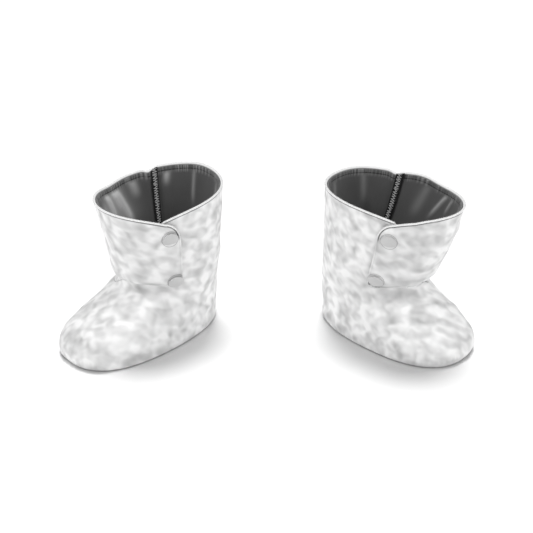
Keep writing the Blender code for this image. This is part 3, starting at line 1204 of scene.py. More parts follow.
class PathNodes(NodeMaker):
    """A node tree that repeats a small piece along a path, with inputs that are set by name."""

    title: str
    wanted: tuple[tuple[str, str], ...]

    def __init__(self) -> None:
        """Make the tree, its inputs and its nodes."""
        self.tree = bpy.data.node_groups.new(self.title, "GeometryNodeTree")
        self.inputs: dict[str, str] = {}
        add_socket = self.tree.interface.new_socket
        add_socket("Geometry", in_out="OUTPUT", socket_type="NodeSocketGeometry")
        add_socket("Geometry", in_out="INPUT", socket_type="NodeSocketGeometry")
        for name, kind in (("Pitch", "NodeSocketFloat"), *self.wanted, ("Material", "NodeSocketMaterial")):
            self.inputs[name] = add_socket(name, in_out="INPUT", socket_type=kind).identifier
        self.given = add_node(self.tree, "NodeGroupInput").outputs
        curve = self.output("GeometryNodeMeshToCurve", {"Mesh": self.given["Geometry"]})
        steps = {"Curve": curve, "Length": self.given["Pitch"]}
        even = self.output("GeometryNodeResampleCurve", steps, mode="LENGTH")
        spots = add_node(self.tree, "GeometryNodeCurveToPoints", {"Curve": even}, mode="EVALUATED")
        self.spots = spots.outputs
        self.outward = self.output(
            "GeometryNodeInputNamedAttribute", {"Name": "outward"}, "Attribute", data_type="FLOAT_VECTOR"
        )
        real = self.output("GeometryNodeRealizeInstances", {"Geometry": self.instances()})
        smooth = self.output("GeometryNodeSetShadeSmooth", {"Geometry": real})
        finish = {"Geometry": smooth, "Material": self.given["Material"]}
        finished = self.output("GeometryNodeSetMaterial", finish)
        add_node(self.tree, "NodeGroupOutput", {"Geometry": finished})

    def chance(self, kind: str, low: object, high: object, seed: int) -> Socket:
        """A random value for each piece.

        Args:
            kind: FLOAT or FLOAT_VECTOR.
            low, high: the least and the greatest value.
            seed: fixes the values.
        Returns:
            The output that holds it.
        """
        first = 0 if kind == "FLOAT_VECTOR" else 2
        limits = {first: low, first + 1: high, "Seed": seed}
        return self.output("FunctionNodeRandomValue", limits, first // 2, data_type=kind)

    def placed(
        self, points: object, piece: object, rotation: object, turn: object, scale: object
    ) -> Socket:
        """Place a piece at each point, turned in its own axes.

        Args:
            points: the points.
            piece: the piece.
            rotation, turn: how it lies at each point, and its further turn.
            scale: its scale.
        Returns:
            The output that holds the pieces.
        """
        turns = {"Rotation": rotation, "Rotate By": turn}
        rotation = self.output("FunctionNodeRotateRotation", turns, rotation_space="LOCAL")
        places = {"Points": points, "Instance": piece, "Rotation": rotation, "Scale": scale}
        return self.output("GeometryNodeInstanceOnPoints", places)

    def instances(self) -> Socket:
        """Add the nodes that place the pieces, and give what they make."""
        raise NotImplementedError

    def run(
        self, name: str, form: CoverForm, paths: list[Path], sizes: StitchSizes | PileSizes,
        material: Material,
    ) -> Object:
        """Repeat the piece along some paths of a cover.

        Args:
            name: the new piece's name.
            form: the cover.
            paths: the paths.
            sizes: the piece's sizes.
            material: its finish.
        Returns:
            One plain mesh piece.
        """
        points = np.concatenate([form.to_pair(path) for path, _ in paths])
        outward = np.concatenate([form.direction_to_pair(directions) for _, directions in paths])
        edges = []
        start = 0
        for path, _ in paths:
            edges += [(start + step, start + step + 1) for step in range(len(path) - 1)]
            start += len(path)
        guide_mesh = bpy.data.meshes.new(name + "_path")
        guide_mesh.from_pydata(points.tolist(), edges, [])
        layer = guide_mesh.attributes.new("outward", "FLOAT_VECTOR", "POINT")
        layer.data.foreach_set("vector", outward.astype(np.float32).ravel())
        guide = link_object(name + "_path", guide_mesh)
        modifier = guide.modifiers.new("along the path", "NODES")
        modifier.node_group = self.tree
        for key, value in {**sizes.inputs(), "Material": material}.items():
            modifier[self.inputs[key]] = value
        graph = bpy.context.evaluated_depsgraph_get()
        mesh = bpy.data.meshes.new_from_object(guide.evaluated_get(graph))
        bpy.data.objects.remove(guide)
        mesh.name = name
        log.info("%s: %d faces", name, len(mesh.polygons))
        return link_object(name, mesh)


class StitchNodes(PathNodes):
    """Stitches along a path: each one a small grain of thread that lies along it, or across it."""

    title = "stitches along a path"
    wanted = (("Size", "NodeSocketVector"), ("Slant", "NodeSocketFloat"), ("Wander", "NodeSocketFloat"))

    def instances(self) -> Socket:
        """Lay a grain at each spot, slanted to one side and the other by turns.

        Returns:
            The output that holds the stitches.
        """
        axes = {0: self.spots["Tangent"], 1: self.outward}
        lying = self.output("FunctionNodeAxesToRotation", axes, primary_axis="Z", secondary_axis="X")
        side = self.calculated("MODULO", self.output("GeometryNodeInputIndex"), 2.0)
        swing = self.calculated("MULTIPLY_ADD", side, 2.0, -1.0)
        slant = self.calculated("MULTIPLY", swing, self.given["Slant"])
        chance = self.chance("FLOAT", -1.0, 1.0, 5)
        angle = self.calculated("MULTIPLY_ADD", chance, self.given["Wander"], slant)
        turn = self.output("FunctionNodeAxisAngleToRotation", {"Axis": (1.0, 0.0, 0.0), "Angle": angle})
        grain = self.output("GeometryNodeMeshUVSphere", {"Segments": 6, "Rings": 5, "Radius": 0.5})
        return self.placed(self.spots["Points"], grain, lying, turn, self.given["Size"])


class PileNodes(PathNodes):
    """Pile along an edge: short tapered fibres that stand out of it at uneven angles."""

    title = "pile along an edge"
    wanted = tuple((name, "NodeSocketFloat") for name in ("Length", "Thickness", "Scatter"))
    # The fibres' greatest splay, in radians, and their least and greatest part of the full size
    splay = (0.8, 0.8, 3.1)
    least = (1.0, 1.0, 0.5)
    greatest = (1.0, 1.0, 1.1)

    def instances(self) -> Socket:
        """Stand a fibre at each spot, moved a little aside.

        Returns:
            The output that holds the pile.
        """
        way = self.chance("FLOAT_VECTOR", (-1.0, -1.0, -1.0), (1.0, 1.0, 1.0), 3)
        scatter = {0: way, "Scale": self.given["Scatter"]}
        aside = self.output("ShaderNodeVectorMath", scatter, operation="SCALE")
        moves = {"Geometry": self.spots["Points"], "Offset": aside}
        moved = self.output("GeometryNodeSetPosition", moves)
        upright = self.output("FunctionNodeAlignRotationToVector", {"Vector": self.outward}, axis="Z")
        back = tuple(-turn for turn in self.splay)
        lean = self.chance("FLOAT_VECTOR", back, self.splay, 8)
        splay = self.output("FunctionNodeEulerToRotation", {0: lean})
        cone = {"Vertices": 3, "Radius Top": 0.0, "Radius Bottom": self.given["Thickness"]}
        cone["Depth"] = self.given["Length"]
        fibre = self.output("GeometryNodeMeshCone", cone, fill_type="NONE")
        size = self.chance("FLOAT_VECTOR", self.least, self.greatest, 13)
        return self.placed(moved, fibre, upright, splay, size)


# Close rows and columns at the cloth's edges: those that round the wall, and those that shape a rolled edge
ROUND_OFFSETS = (0.0, 0.08, 0.28, 0.8)
ROLL_OFFSETS = (0.0, 0.08, 0.28, 0.6, 0.95, 1.3, 1.7, 2.05, 2.35, 2.65, 3.0, 3.6, 4.5)
# Axes slanted to all of the cover's own, so that a fine noise doesn't line up with a coarse one
SLANTED_AXES = np.array([[0.8, 0.6, 0.0], [-0.48, 0.64, 0.6], [0.36, -0.48, 0.8]])


@dataclass(frozen=True)
class Pattern:
    """The cut of one layer of a cover, and the steps of its grids, in mm and degrees."""

    form: CoverForm
    seam_gap: float
    base: float
    trim: float
    depth: float
    column_step: float
    foot_rows: int
    shaft_rows: int
    flap_rows: int
    corner_columns: int = 18

    @classmethod
    def of_plush(cls, form: CoverForm) -> "Pattern":
        """The cut of the plush, with small steps for its crushed nap."""
        return cls(
            form, seam_gap=0.1, base=CLOTH.plush_base, trim=0.0, depth=CLOTH.plush_wall / 2.0,
            column_step=0.95, foot_rows=32, shaft_rows=42, flap_rows=52,
        )

    @classmethod
    def of_lining(cls, form: CoverForm) -> "Pattern":
        """The cut of the lining, with small steps round the cover for the puckers of its hem."""
        return cls(
            form, seam_gap=CLOTH.gap, base=CLOTH.lining_base, trim=CLOTH.hem_drop,
            depth=CLOTH.lining_depth + CLOTH.lining_wall / 2.0, column_step=0.55,
            foot_rows=12, shaft_rows=26, flap_rows=30,
        )

    def columns(self, start: float, end: float, wall_ends: tuple[bool, bool]) -> Array:
        """Angles from start to end, closer at the ends where the wall ends there.

        Args:
            start, end: the first and the last angle.
            wall_ends: whether the wall ends at the start, and at the end.
        Returns:
            The angles.
        """
        close = tuple(CLOTH.degrees_for(offset) for offset in ROUND_OFFSETS)
        first, last = (close if ends else (0.0,) for ends in wall_ends)
        return rows_between(start, end, max(2, round((end - start) / self.column_step)), first, last)

    def upper(self) -> tuple[ClothGrid, Array, Array]:
        """Lay out the foot, whole rings, and the shaft's back, from the lap to the seam.

        Returns:
            The grid, which of its points lie on a free edge, and which on a sewn one.
        """
        form = self.form
        seam = form.seam_angle + 360.0
        half_gap = CLOTH.degrees_for(self.seam_gap / 2.0)
        back = self.columns(form.under_angle, seam - half_gap, (True, True))
        front = self.columns(seam + half_gap, form.under_angle + 360.0 - self.column_step, (False, False))
        angles = np.concatenate([back, front])
        turned = form.from_seam(angles)
        tuck = (CLOTH.foot_tuck + self.seam_gap) * ease_between(turned, CLOTH.tuck_ends)
        lapping = 1.0 - ease_between(turned, CLOTH.lap_ends)
        lap_low = form.flap_low(np.minimum(turned, CLOTH.lap_ends[0]))
        foot_top = lap_low * lapping + CLOTH.ankle * (1.0 - lapping) - self.seam_gap + tuck * lapping
        foot = rows_between(
            np.full(len(angles), self.base), foot_top, self.foot_rows, ROUND_OFFSETS, ROUND_OFFSETS
        )
        top = form.rim_height(turned) - form.hidden_drop(turned) - self.trim
        shaft = rows_between(foot_top, top, self.shaft_rows, (0.0,), ROLL_OFFSETS)
        heights = np.concatenate([foot, shaft[1:]])
        ankle = len(foot) - 1
        risen = len(back)
        present = np.ones(heights.shape, bool)
        present[ankle + 1 :, risen:] = False
        grid = ClothGrid(lambda a, h: form.face(a, h, -self.depth), angles, heights, present, closed=True)
        free = np.zeros(heights.shape, bool)
        free[-1, :risen] = True
        free[ankle:, 0] = True
        sewn = np.zeros(heights.shape, bool)
        sewn[ankle:, risen - 1] = True
        sewn[ankle, risen:] = True
        sewn[0] = True
        return grid, free[present], sewn[present]

    def flap(self) -> tuple[ClothGrid, Array, Array]:
        """Lay out the flap, from the seam round the front to its rounded free corners.

        Returns:
            The grid, its free points and its sewn ones.
        """
        form = self.form
        start = form.seam_angle + CLOTH.degrees_for(self.seam_gap / 2.0)
        straight = self.columns(start, form.corner_start, (True, False))
        turns = np.linspace(0.0, math.pi / 2.0, self.corner_columns + 1)[1:]
        angles = np.concatenate([straight, form.corner_start + CLOTH.corner_turn * np.sin(turns)])
        low = form.flap_bottom(angles)
        top = form.flap_top(angles) - self.trim
        heights = rows_between(low, top, self.flap_rows, ROUND_OFFSETS, ROLL_OFFSETS)
        grid = ClothGrid(lambda a, h: form.face(a, h, form.flap_stand(a, h) - self.depth), angles, heights)
        loose = angles > CLOTH.loose_angle
        free = np.zeros(heights.shape, bool)
        free[-1] = True
        free[:, -1] = True
        free[0, loose] = True
        sewn = np.zeros(heights.shape, bool)
        sewn[:, 0] = True
        sewn[0, ~loose] = True
        return grid, free.ravel(), sewn.ravel()


@dataclass(frozen=True)
class Crumple:
    """Soft lumps and finer wrinkles of crushed plush, bent by a slow warp, in mm."""

    lump_depth: float = 0.85
    lump_size: float = 12.0
    wrinkle_depth: float = 0.42
    wrinkle_size: float = 5.6
    warp: float = 4.0
    warp_size: float = 15.0
    hollow: float = 0.5
    # How far apart in the noise the warp's three parts are read, and how far off the wrinkles are
    apart: float = 40.0
    aside: float = 90.0

    def lift(self, places: Array, noise: SoftNoise) -> Array:
        """How far the crushed plush stands out. Its hollows are shallower than its lumps are high.

        Args:
            places: points in the cover's frame, mm.
            noise: the noise that it is read from.
        Returns:
            The lift of each point, mm.
        """
        parts = [noise.at(places + self.apart * part, self.warp_size) for part in (1, 2, 3)]
        warped = places + self.warp * np.stack(parts, axis=-1)
        wrinkles = noise.at(warped @ SLANTED_AXES + self.aside, self.wrinkle_size)
        lumps = self.lump_depth * noise.at(warped, self.lump_size) + self.wrinkle_depth * wrinkles
        return np.maximum(lumps, self.hollow * lumps)


@dataclass(frozen=True)
class Gathers:
    """Small gathers where the upper is sewn to the sole, deepest at the toe and the heel, in mm."""

    depth: float = 0.55
    pitch: float = 5.8
    low_fade: float = 3.0
    top: float = 15.0
    bend: float = 62.0
    drift: float = 2.2
    drift_size: float = 17.0
    patchiness: float = 0.45
    patch_size: float = 13.0
    patch_place: float = 500.0
    side_part: float = 0.35

    def lift(self, angles: Array, heights: Array, noise: SoftNoise) -> Array:
        """How far the gathers stand out.

        Args:
            angles: angles.
            heights: heights, mm.
            noise: the noise that makes them uneven.
        Returns:
            The lift of each point, mm.
        """
        arc = np.radians(angles) * self.bend
        phase = arc + self.drift * noise.along(arc, self.drift_size)
        wave = np.cos(2.0 * math.pi * phase / self.pitch)
        patches = noise.along(arc + self.patch_place, self.patch_size)
        uneven = 1.0 - self.patchiness + self.patchiness * patches
        ends = self.side_part + (1.0 - self.side_part) * np.cos(np.radians(angles)) ** 2
        above = heights - CLOTH.foot_base
        fade = smooth_step(above / self.low_fade) * (1.0 - smooth_step(above / self.top))
        return self.depth * wave * uneven * ends * fade


@dataclass
class Relief:
    """What is worked into a grid of plush: lift and distance from a cap, mm, and the rest in parts of 1."""

    lift: Array
    from_cap: Array
    # How firmly the rolled edge shows, with its painted highlight and its ditch's painted shade
    shows: Array
    # Strength of the painted shade lines
    shade: Array


@dataclass
class PlushShell:
    """The plush of one cover: the upper, the flap and the sole, in mm and degrees."""

    form: CoverForm
    wardrobe: Wardrobe
    crumple: Crumple = Crumple()
    gathers: Gathers = Gathers()
    # The crumple fades toward free and sewn edges and under the flap
    calm_edge: float = 1.5
    calm_fade: float = 3.0
    sewn_crumple: float = 0.25
    lapped_crumple: float = 0.3
    roll_lift: float = 0.3
    roll_middle: float = 0.75
    roll_width: float = 0.6
    roll_unevenness: float = 0.4
    roll_pitch: float = 2.4
    # Where the rolled edge's painted highlight ends, and how it fades
    rolled_end: float = 1.1
    rolled_fade: float = 0.7
    ditch: float = 1.6
    ditch_depth: float = 0.45
    ditch_width: float = 0.3
    # Width of the painted shade in the stitches' ditch
    ditch_shade_width: float = 0.42
    side_edge_shows: float = 0.12
    dimple_depth: float = 0.5
    dimple_slope: float = 3.4
    dimple_start: float = 0.4
    dimple_reach: float = 8.0
    far: float = 9.0
    pinch_depth: float = 0.3
    pinch_width: float = 1.8
    # Painted shade lines along seams, along the sole's edge, and under the flap's lower edge at the ankle
    seam_shade: float = 0.06
    seam_shade_width: float = 0.5
    seam_level: float = 5.0
    sole_line: float = 0.5
    sole_line_width: float = 0.45
    ankle_line: float = 0.6
    ankle_line_width: float = 0.6
    ankle_line_ends: Pair = (-40.0, -10.0)
    ankle_line_past: float = 6.0

    def __post_init__(self) -> None:
        """Lay out the pattern and set up the noise that crushes the nap."""
        self.pattern = Pattern.of_plush(self.form)
        self.noise = SoftNoise(self.form.seed)

    def edge_shows(self, heights: Array) -> Array:
        """How firmly the flap's rolled edge shows: along the rim and top corner, less along its side.

        It sets the roll, its painted highlight and the painted shade of its ditch.

        Args:
            heights: heights of points of the flap, mm.
        Returns:
            A part of 1 for each point.
        """
        top_snap, low_snap = self.form.snaps
        least = self.side_edge_shows
        above = smooth_step((heights - top_snap.height + 4.0) / 6.0)
        below = 1.0 - smooth_step((heights - low_snap.height + 2.0) / 5.0)
        return np.maximum(above, least + (self.form.lower_edge_shows - least) * below)

    def press_of_snaps(self, points: Array) -> tuple[Array, Array]:
        """The dimples that the snaps press in the flap.

        Args:
            points: points of the flap, mm.
        Returns:
            How far each point is pressed in, and how far it lies outside the nearest cap's edge, mm.
        """
        depth = np.zeros(len(points))
        nearest = np.full(len(points), self.far)
        for snap in self.form.snaps:
            seat = self.form.face(snap.angle, snap.height, CLOTH.lap_stand)
            axis = self.form.snap_axis(snap, CLOTH.cap_radius, CLOTH.cap_lean)
            away = np.linalg.norm(np.cross(points - seat, axis), axis=1) - CLOTH.cap_radius
            away = np.where((points - seat) @ axis > -self.dimple_reach, away, self.far)
            pressed = 1.0 - smooth_step((away + self.dimple_start) / self.dimple_slope)
            depth += self.dimple_depth * pressed
            nearest = np.minimum(nearest, away)
        return depth, nearest

    def edge_lift(self, from_free: Array, arc: Array) -> Array:
        """The rolled edge and the ditch of its stitches.

        Args:
            from_free: distance from the free edge, mm.
            arc: length along the edge, mm.
        Returns:
            How far the face stands out, mm.
        """
        pucker = 1.0 + self.roll_unevenness * self.noise.along(arc, self.roll_pitch)
        roll = self.roll_lift * pucker * bell(from_free - self.roll_middle, self.roll_width)
        return roll - self.ditch_depth * bell(from_free - self.ditch, self.ditch_width)

    def upper_relief(self, grid: ClothGrid, lift: Array) -> Relief:
        """Work the upper: calmer under the flap, gathered and given painted shade lines where it is sewn
        on.

        Args:
            grid: the middle of its wall.
            lift: how far the crumple lifts each point, mm.
        Returns:
            Its relief.
        """
        form = self.form
        turned = form.from_seam(grid.angles)
        lapped = (turned > CLOTH.sewn_ends[1]) & (turned < form.edge_angle)
        lapped &= grid.heights > form.flap_bottom(turned) - 2.0
        lapped &= grid.heights < form.flap_top(turned) - 1.0
        calmed = np.where(lapped, self.lapped_crumple, 1.0) * lift
        # A painted shadow line under the flap's lower edge at the ankle, and one along the sole's edge
        at_ankle = turned < CLOTH.tuck_ends[0] + self.ankle_line_past
        near = ease_between(turned, self.ankle_line_ends) * at_ankle * form.lower_edge_shows
        ankle = self.ankle_line * near * bell(grid.heights - form.flap_low(turned), self.ankle_line_width)
        sole = self.sole_line * bell(grid.heights - self.pattern.base, self.sole_line_width)
        return Relief(
            lift=calmed + self.gathers.lift(grid.angles, grid.heights, self.noise),
            from_cap=np.full(len(lift), self.far),
            shows=np.where(lapped, 0.0, 1.0),
            shade=np.maximum(sole, ankle),
        )

    def flap_relief(self, grid: ClothGrid, lift: Array) -> Relief:
        """Work the flap: pressed in round the snaps, and given a painted shade line along the ankle.

        Args:
            grid, lift: as upper_relief takes them.
        Returns:
            Its relief.
        """
        dimple, from_cap = self.press_of_snaps(grid.points)
        near = ease_between(grid.angles, self.ankle_line_ends) * self.form.lower_edge_shows
        above = grid.heights - self.form.flap_bottom(grid.angles)
        return Relief(
            lift=lift * (1.0 - dimple / self.dimple_depth) - dimple,
            from_cap=from_cap,
            shows=self.edge_shows(grid.heights),
            shade=near * bell(above, self.ankle_line_width),
        )

    def finish_shell(
        self, name: str, node: str, grid: ClothGrid, free: Array, sewn: Array, foot: bool
    ) -> Object:
        """Shape a grid's outer face and make the piece.

        Args:
            name: the piece's name.
            node: the solid that it stands for.
            grid: the middle of its wall.
            free, sewn: which points lie on a free edge, and on a sewn one.
            foot: whether it reaches down to the sole.
        Returns:
            The piece.
        """
        arc = np.radians(grid.angles) * CLOTH.side_bend
        from_free = grid.distance_to(free)
        from_sewn = grid.distance_to(sewn)
        calm = smooth_step((from_free - self.calm_edge) / self.calm_fade)
        lift = self.crumple.lift(grid.points, self.noise) * calm
        away = smooth_step(from_sewn / self.calm_fade)
        lift = lift * (self.sewn_crumple + (1.0 - self.sewn_crumple) * away)
        relief = self.upper_relief(grid, lift) if foot else self.flap_relief(grid, lift)
        # Painted shade in the stitches' ditch and along seams; all the shade lines go in the 'sewn'
        # attribute
        ditch_shade = relief.shows * bell(from_free - self.ditch, self.ditch_shade_width)
        shade = np.maximum(relief.shade, ditch_shade)
        shade = np.maximum(shade, self.seam_shade * bell(from_sewn, self.seam_shade_width))
        lift = relief.lift + relief.shows * self.edge_lift(from_free, arc)
        lift = lift - self.pinch_depth * np.exp(-from_sewn / self.pinch_width)
        # Both cloths of a seam share the smooth face's directions there, so that their faces meet.
        level = smooth_step(from_sewn / self.seam_level)[:, None]
        shared = self.form.outward(grid.angles, grid.heights) * (1.0 - level) + grid.normals * level
        grid.normals = shared / np.linalg.norm(shared, axis=1, keepdims=True)
        points, faces = grid.shell(CLOTH.plush_wall, lift, np.zeros(len(lift)), from_sewn < from_free)
        # The rolled edge's painted highlight, kept in the 'rolled' attribute
        rolled = relief.shows * (1.0 - smooth_step((from_free - self.rolled_end) / self.rolled_fade))
        values = {"sewn": shade, "rolled": rolled, "from_cap": relief.from_cap}
        values = {attribute: grid.on_shell(value) for attribute, value in values.items()}
        flat = grid.on_shell(np.stack([arc, grid.heights], axis=-1))
        piece = new_piece(name, self.form, points, faces, self.wardrobe.plush, values, flat)
        return dress(piece, Slot.PLUSH, node)

    def make_upper(self) -> None:
        """Make the upper."""
        name = self.form.name + "_plush_upper"
        grid, free, sewn = self.pattern.upper()
        piece = self.finish_shell(name, self.form.name + "_upper", grid, free, sewn, True)
        flat = self.form.upper_flat()
        grid.area()

    def make_flap(self) -> None:
        """Make the flap."""
        name = self.form.name + "_plush_flap"
        grid, free, sewn = self.pattern.flap()
        piece = self.finish_shell(name, self.form.name + "_flap", grid, free, sewn, False)
        flat = self.form.flap_flat()
        grid.area()

    def make_sole(self) -> None:
        """Make the sole, a flat piece with a round edge."""
        Plate(
            self.form, self.form.name + "_plush_sole", self.form.name + "_sole", CLOTH.lining_depth,
            bottom=0.0, top=CLOTH.sole_wall, material=self.wardrobe.plush, slot=Slot.PLUSH,
        ).make()


@dataclass(frozen=True)
class Plate:
    """A level piece of cloth, cut to the ring of a cover's foot, with a round edge.

    It is cut some way inside the foot's outer face, its inset, and reaches from its bottom's height to
    its top's, in mm. The node is the solid that it stands for.
    """

    form: CoverForm
    name: str
    node: str
    inset: float
    bottom: float
    top: float
    material: Material
    slot: Slot
    columns: int = 240

    def rings(self) -> list[Pair]:
        """Distances inside its outline and heights of its rings, from the underside round the edge.

        Returns:
            Both for each ring, mm.
        """
        wall = self.top - self.bottom
        half = wall / 2.0
        inner, outer = 3.0 * wall, 1.4 * wall
        turns = np.linspace(-0.5, 0.5, 9) * math.pi
        edge = [(half * (1.0 - math.cos(t)), self.bottom + half * (1.0 + math.sin(t))) for t in turns]
        return [(inner, self.bottom), (outer, self.bottom), *edge, (outer, self.top), (inner, self.top)]

    def make(self) -> None:
        """Make the piece."""
        angles = np.arange(self.columns) * 360.0 / self.columns
        points = []
        for distance, height in self.rings():
            ring = self.form.face(angles, CLOTH.foot_base, -self.inset - distance)
            ring[:, 2] = height
            points.append(ring)
        last = (len(points) - 1) * self.columns
        faces: Faces = []
        for start in range(0, last, self.columns):
            above = start + self.columns
            for column in range(self.columns):
                after = (column + 1) % self.columns
                faces.append((start + column, start + after, above + after, above + column))
        faces.append(tuple(reversed(range(self.columns))))
        faces.append(tuple(range(last, last + self.columns)))
        plate = np.concatenate(points)
        values = {"from_cap": np.full(len(plate), PlushShell.far)}
        piece = new_piece(self.name, self.form, plate, faces, self.material, values, plate[:, :2])
        dress(piece, self.slot, self.node)
        x, y, _ = np.moveaxis(self.form.face(angles, CLOTH.foot_base, -self.inset), -1, 0)


@dataclass
class LiningShell:
    """The satin lining of one cover: of the upper, the flap and the sole, in mm and degrees."""

    form: CoverForm
    wardrobe: Wardrobe
    hem_line: float = 3.6
    pucker_depth: float = 0.6
    pucker_pitch: float = 2.9
    pucker_drift: float = 3.4
    pucker_drift_size: float = 5.0
    patchiness: float = 0.45
    patch_size: float = 4.0
    patch_place: float = 300.0
    ditch_depth: float = 0.3
    ditch_width: float = 0.45
    slack_depth: float = 0.4
    slack_size: float = 9.0
    slack_fade: float = 6.0
    # The slack is drawn out upright by this part of each axis
    slack_axes: Triple = (1.0, 1.0, 0.35)
    seam_clear: float = 4.5
    seam_fade: float = 4.0
    # How the painted sheen fades in from the hem, and its share on the puckers
    gloss_fade: float = 4.0
    pucker_gloss: float = 0.7
    # The painted shade along the hem's stitch line, kept in the 'sewn' attribute
    hem_shade: float = 0.5
    hem_shade_width: float = 0.4

    def __post_init__(self) -> None:
        """Lay out the pattern and set up the noise of its puckers."""
        self.pattern = Pattern.of_lining(self.form)
        self.noise = SoftNoise(self.form.seed + 3)

    def puckers(self, grid: ClothGrid, from_rim: Array) -> Array:
        """How firmly the hem puckers.

        Args:
            grid: the lining's grid.
            from_rim: distance of each point from its free edge, mm.
        Returns:
            A part of 1 for each point.
        """
        arc = np.radians(grid.angles) * CLOTH.lining_bend
        phase = arc + self.pucker_drift * self.noise.along(arc, self.pucker_drift_size)
        wave = 0.5 + 0.5 * np.cos(2.0 * math.pi * phase / self.pucker_pitch)
        patches = self.noise.along(arc + self.patch_place, self.patch_size)
        strong = 1.0 - self.patchiness + self.patchiness * patches
        band = smooth_step(from_rim / 0.8) * (1.0 - smooth_step((from_rim - self.hem_line + 0.5) / 4.5))
        return wave * strong * band

    def folds(self, grid: ClothGrid) -> Array:
        """How far the slack folds of the satin stand in, mm."""
        return sum(fold.lift(grid.angles, grid.heights) for fold in self.form.satin_folds)

    def inner_lift(self, grid: ClothGrid, from_rim: Array) -> Array:
        """How far the lining stands in: hem puckers, the ditch of the hem's stitches, and slack folds.

        Args:
            grid, from_rim: as puckers takes them.
        Returns:
            The lift of each point, mm.
        """
        ditch = self.ditch_depth * bell(from_rim - self.hem_line, self.ditch_width)
        slack = 0.5 + 0.5 * self.noise.at(grid.points * self.slack_axes, self.slack_size)
        loose = smooth_step((from_rim - self.hem_line) / self.slack_fade)
        away = np.abs(turn_from(self.form.seam_angle, grid.angles))
        clear = smooth_step((away - self.seam_clear) / self.seam_fade)
        standing = (self.slack_depth * slack + self.folds(grid)) * loose
        return clear * (self.pucker_depth * self.puckers(grid, from_rim) + standing) - ditch

    def finish_shell(self, name: str, node: str, grid: ClothGrid, free: Array) -> Object:
        """Shape a grid's inner face and make the piece.

        Args:
            name, node, grid: as the plush shell takes them.
            free: which points lie on the hemmed edge.
        Returns:
            The piece.
        """
        from_rim = grid.distance_to(free)
        sewn = grid.edge_distance < from_rim - 0.01
        lift = self.inner_lift(grid, from_rim)
        points, faces = grid.shell(CLOTH.lining_wall, np.zeros(len(lift)), lift, sewn)
        # Painted shade along the hem's stitch line
        shade = self.hem_shade * bell(from_rim - self.hem_line, self.hem_shade_width)
        # Painted sheen on slack folds and hem puckers
        loose = smooth_step((from_rim - self.hem_line) / self.gloss_fade)
        raised = self.folds(grid) * loose + self.pucker_gloss * self.puckers(grid, from_rim)
        raised = np.clip(self.form.satin_gloss * raised, 0.0, 1.0)
        arc = np.radians(grid.angles) * CLOTH.side_bend
        values = {"sewn": grid.on_shell(shade), "raised": grid.on_shell(raised)}
        flat = grid.on_shell(np.stack([arc, grid.heights], axis=-1))
        piece = new_piece(name, self.form, points, faces, self.wardrobe.satin, values, flat)
        return dress(piece, Slot.LINING, node)

    def make_upper(self) -> None:
        """Make the lining of the upper."""
        name = self.form.name + "_satin_upper"
        grid, free, _ = self.pattern.upper()
        piece = self.finish_shell(name, self.form.name + "_upper_lining", grid, free)
        flat = self.form.upper_flat()
        grid.area()

    def make_flap(self) -> None:
        """Make the lining of the flap."""
        name = self.form.name + "_satin_flap"
        grid, free, _ = self.pattern.flap()
        piece = self.finish_shell(name, self.form.name + "_flap_lining", grid, free)
        flat = self.form.flap_flat()
        grid.area()

    def make_sole(self) -> None:
        """Make the sole of the lining."""
        bottom = CLOTH.sole_wall + CLOTH.gap
        inset = CLOTH.lining_depth + CLOTH.gap
        Plate(
            self.form, self.form.name + "_satin_sole", self.form.name + "_sole_lining", inset,
            bottom, bottom + CLOTH.lining_wall, self.wardrobe.satin, Slot.LINING,
        ).make()


